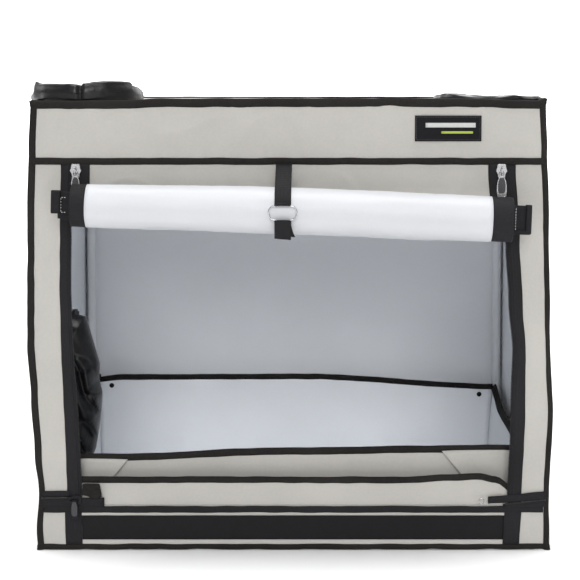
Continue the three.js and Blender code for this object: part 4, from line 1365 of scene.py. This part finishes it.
# The wall sleeve from its mouth to its tip: its outer and its inner outline, each as a
# place across the tent and a height, and its half width.
SLEEVE_LINE = [
    ((-0.3985, 0.3590), (-0.3985, 0.2730), 0.0430), ((-0.3850, 0.3560), (-0.3925, 0.2720), 0.0415),
    ((-0.3560, 0.3510), (-0.3860, 0.2620), 0.0410), ((-0.3325, 0.3440), (-0.3840, 0.2520), 0.0440),
    ((-0.3240, 0.3150), (-0.3835, 0.2420), 0.0460), ((-0.3108, 0.2660), (-0.3830, 0.2200), 0.0470),
    ((-0.3120, 0.2415), (-0.3830, 0.2050), 0.0480), ((-0.3070, 0.2200), (-0.3825, 0.1900), 0.0480),
    ((-0.3090, 0.1880), (-0.3820, 0.1700), 0.0460), ((-0.3145, 0.1500), (-0.3780, 0.1450), 0.0400),
    ((-0.3185, 0.1280), (-0.3650, 0.1280), 0.0260), ((-0.3230, 0.1170), (-0.3480, 0.1170), 0.0120),
]


def sleeve_place(share, around):
    """The limp sleeve from its mouth in the wall to its gathered tip."""
    at = share * (len(SLEEVE_LINE) - 1)
    index = min(int(at), len(SLEEVE_LINE) - 2)
    part = at - index
    (out0, in0, wide0), (out1, in1, wide1) = SLEEVE_LINE[index], SLEEVE_LINE[index + 1]
    outer = Vector((out0[0] + (out1[0] - out0[0]) * part, 0, out0[1] + (out1[1] - out0[1]) * part))
    inner = Vector((in0[0] + (in1[0] - in0[0]) * part, 0, in0[1] + (in1[1] - in0[1]) * part))
    wide = wide0 + (wide1 - wide0) * part
    angle = around * TAU
    sine, cosine = math.sin(angle), math.cos(angle)
    centre = (outer + inner) / 2 + Y * PORT_Y
    point = centre + Y * (wide * cosine) + (outer - inner) / 2 * sine
    free = min(1, share * 2.4)
    slant = (point.x + 0.46 * point.z) / 0.0125 + 1.1 * rumple(point.x, 0, point.z, 0.05, 4.4)
    below = min(1, max(0, (0.30 - point.z - 2.17 * (point.x + 0.333) * 0.6) / 0.035))
    ridge = abs((slant % 2) - 1) ** 1.4
    folds = 0.0130 * (ridge - 0.5) * below
    folds += 0.0075 * crease(point.x * 0.8, around * 0.03, point.z, 0.036, 2.6) * below
    folds += 0.0030 * rumple(point.x, cosine * 0.02, point.z, 0.022, 7.7) * below
    pleats = 0.0030 * math.sin(angle * 9 + 6 * share) * free * (1 - 0.8 * abs(sine))
    push = -squared(cosine, 0.5)
    sway = 0.002 * rumple(point.x, 0, point.z, 0.03, 1.2)
    return point + Y * ((folds + pleats) * push * free) + Z * (sway * free)


sleeve_bag = closed_loop(150, 170, sleeve_place)
tip = [e for e in sleeve_bag.edges if e.is_boundary and e.verts[0].co.z < 0.15]
bmesh.ops.holes_fill(sleeve_bag, edges=tip, sides=0)
bmesh.ops.recalc_face_normals(sleeve_bag, faces=sleeve_bag.faces)
sleeve = thicken(finish_piece(sleeve_bag, "port_sleeve_nylon", [nylon]), 0.0006, False)
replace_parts(sleeve, "port_sleeve_left")

ring_shape = bmesh.new()
ring_profile = [(0.0415, 0.0), (0.0418, 0.0016), (0.0440, 0.0026), (0.0470, 0.0030), (0.0505, 0.0024),
                (0.0518, 0.0012), (0.0518, 0.0)]
to_wall = Matrix.Translation((-SKIN_X + 0.0002, PORT_Y, PORT_Z)) @ Matrix.Rotation(-TAU / 4, 4, "Y")
turned(ring_shape, ring_profile, 64, to_wall)
shift = hang(-SKIN_X, PORT_Y, PORT_Z).x + SKIN_X
bmesh.ops.translate(ring_shape, verts=ring_shape.verts, vec=(shift, 0, 0))
port_ring = finish_piece(ring_shape, "port_ring_tape", [tape_black])
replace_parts(port_ring, "port_ring_left")


SLEEVE_RING_RADIUS = 0.0675
SLEEVE_RING_FOOT = 0.0050
ROOF_Z = SKIN_TOP + 0.0008


def roof_sleeve(side, heights, width, seed, pleat_count):
    """A sleeve bunched down to a ring round its roof port; heights gives how high it
    stands, from a share of the way round it. The left one has a notch, a raised tip
    and a flared end."""
    left = side == "left"
    centre = Vector((ROOF_PORT.x * (-1 if left else 1), ROOF_PORT.y, ROOF_Z))

    def place(share, around):
        turn = share * TAU
        angle = around * TAU
        tall = along(heights, share)
        crush = rumple(math.cos(turn), math.sin(turn), angle * 0.15, 0.36, seed)
        pleats = math.sin(turn * pleat_count + 2.5 * crush + angle * 0.8)
        across = squared(math.cos(angle), 0.45)
        up = squared(math.sin(angle), 0.40)
        notch = flare = tip = 0
        if left:
            notch = math.exp(-((share - 0.748) / 0.006) ** 2)
            flare = 0.0060 * math.exp(-((share - 0.5) / 0.05) ** 2 - ((up + 0.3) / 0.5) ** 2)
            tip = 0.0090 * math.exp(-((share - 0.568) / 0.014) ** 2) * max(across, 0) ** 2
        reach = width * (1 + 0.05 * pleats + 0.10 * crush - 0.35 * notch) + flare
        tuck = 0.0016 * math.exp(-(((angle - 0.3) % TAU) / 0.28) ** 2)
        radius = SLEEVE_RING_RADIUS + (reach - tuck) * across
        whole = (tall + tip + SLEEVE_RING_FOOT) * (1 + (0.015 if left else 0.060) * pleats)
        height = whole * (0.5 + 0.5 * up) - SLEEVE_RING_FOOT
        return centre + Vector((radius * math.cos(turn), radius * math.sin(turn), height))
    bm = closed_loop(200, 36, place, 1e-5)
    bmesh.ops.recalc_face_normals(bm, faces=bm.faces)
    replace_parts(finish_piece(bm, f"roof_sleeve_{side}_nylon", [nylon]), f"roof_sleeve_{side}")


LEFT_HEIGHTS = [(0.0, 0.7135), (0.20, 0.7165), (0.42, 0.7160), (0.50, 0.7130), (0.555, 0.7205),
                (0.600, 0.7228), (0.650, 0.7232), (0.711, 0.7223), (0.742, 0.7205), (0.748, 0.7190),
                (0.756, 0.7230), (0.796, 0.7263), (0.917, 0.7262), (0.927, 0.7208), (0.970, 0.7188),
                (1.0, 0.7150)]
roof_sleeve("left", [(share, z - ROOF_Z) for share, z in LEFT_HEIGHTS], 0.0180, 2.0, 7)
RIGHT_HEIGHTS = [(0, 0.0040), (0.3, 0.0050), (0.5, 0.0060), (0.60, 0.0085), (0.66, 0.0040), (0.75, 0.0030),
                 (0.82, 0.0055), (0.9, 0.0035), (1, 0.0040)]
roof_sleeve("right", RIGHT_HEIGHTS, 0.0175, 5.0, 11)

# Cord lock. A moulded barrel and its spring button hold the wall sleeve's cord.
lock_finish = grained_plastic("lock_plastic", (0.012, 0.012, 0.013), 0.3)
finished_copy("cord_lock_barrel", "lock_barrel", lock_finish, 0.0009, segments=3)
finished_copy("cord_lock_button", "lock_button_cap", lock_finish, 0.0009, "lock_button", 3)

# Zip dust flap. A scrap of black cloth is sewn at the left end of the lower zip and
# hangs there crumpled; at the right end the zip stops in a small steel ring.
lump = bmesh.new()


def lump_place(share, around):
    """A crumpled patch of cloth, wider at its foot."""
    across, deep = section_point(round_section(24), around)
    across = squared(across, 0.5)
    z = 0.1060 - 0.0210 * share - 0.0030 * share * math.sin(across * 3.0 + 0.6)
    wide = 0.0128 + 0.0030 * share + 0.0014 * rumple(0, share, 0, 0.2, 3.0)
    x = -0.3120 + 0.0010 * share + wide * across
    y = -0.3042 + 0.0018 * deep - 0.0034 * rumple(x, 0, z, 0.012, 7.0) - 0.0020 * crease(x, 0, z, 0.02, 3.0)
    return hang(x, y, z)


loft(lump, 36, 48, lump_place, 0.034, 0.06)
finish_piece(lump, "zip_dust_flap", [tape_black])
stop_ring = bmesh.new()
STOP_RING_RADIUS = 0.0043
STOP_RING_WIRE = 0.0008
stop_profile = [(STOP_RING_RADIUS + STOP_RING_WIRE * s, STOP_RING_WIRE * t) for s, t in round_section(10)]
at_stop = Matrix.Translation((0.2998, -0.3034, 0.0775)) @ Matrix.Rotation(TAU / 4, 4, "X")
turned(stop_ring, stop_profile, 32, at_stop)
finish_piece(stop_ring, "zip_stop_ring", [zip_metal])

# Label. A dark woven patch, hemmed with grey thread, carries two plain pale stripes.
label_low, label_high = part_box("label")
label_finish = woven("label_weave", (0.0085, 0.0085, 0.0100), 0.7, 0.0011, 0.0002, 0.15, shine=0.12)
stripe_finish = woven("label_stripe", (0.50, 0.51, 0.50), 0.6, 0.0009, 0.0002, 0.08)
green_finish = woven("label_green_stripe", (0.33, 0.42, 0.05), 0.6, 0.0009, 0.0002, 0.08)
LABEL_FRONT = label_low.y - 0.0018


def label_place(u, v):
    """The patch, almost flat on the header."""
    x, z = label_low.x + u, label_low.z + v
    return Vector((x, LABEL_FRONT - 0.0006 * abs(rumple(x, 0, z, 0.03, 1.0)), z))


label_size = (label_high.x - label_low.x, label_high.z - label_low.z)
label = cloth_piece("label_patch", label_size, (0.003, 0.003), label_place, [label_finish], 0.0009)
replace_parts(label, "label")
# Each stripe's height on the label, its two ends and its width.
LABEL_STRIPES = [
    ("label_stripe_wide", stripe_finish, 0.0245, 0.016, 0.092, 0.0070),
    ("label_stripe_narrow", green_finish, 0.0135, 0.040, 0.088, 0.0036),
]
for name, finish, height, x0, x1, width in LABEL_STRIPES:
    stripe = bmesh.new()

    def stripe_path(share, height=height, x0=x0, x1=x1):
        """Along one stripe."""
        return Vector((label_low.x + x0 + (x1 - x0) * share, LABEL_FRONT - 0.0007, label_low.z + height))
    flat_tape(stripe, stripe_path, width, 0.0009, Z, -Y, x1 - x0, 0.0)
    finish_piece(stripe, name, [finish])
hem = bmesh.new()
HEM = 0.0022
left_x, right_x = label_low.x + HEM, label_high.x - HEM
foot_z, top_z = label_low.z + HEM, label_high.z - HEM
corners = [(left_x, foot_z), (right_x, foot_z), (right_x, top_z), (left_x, top_z)]
corners = [Vector((x, LABEL_FRONT - 0.0005, z)) for x, z in corners]
for start, end in zip(corners, corners[1:] + corners[:1]):
    stitches(hem, start, end, round((end - start).length / 0.0027), 0.00035)
hem_thread, _, _, _ = principled("grey_thread", (0.10, 0.10, 0.11), 0.7)
finish_piece(hem, "label_thread", [hem_thread])
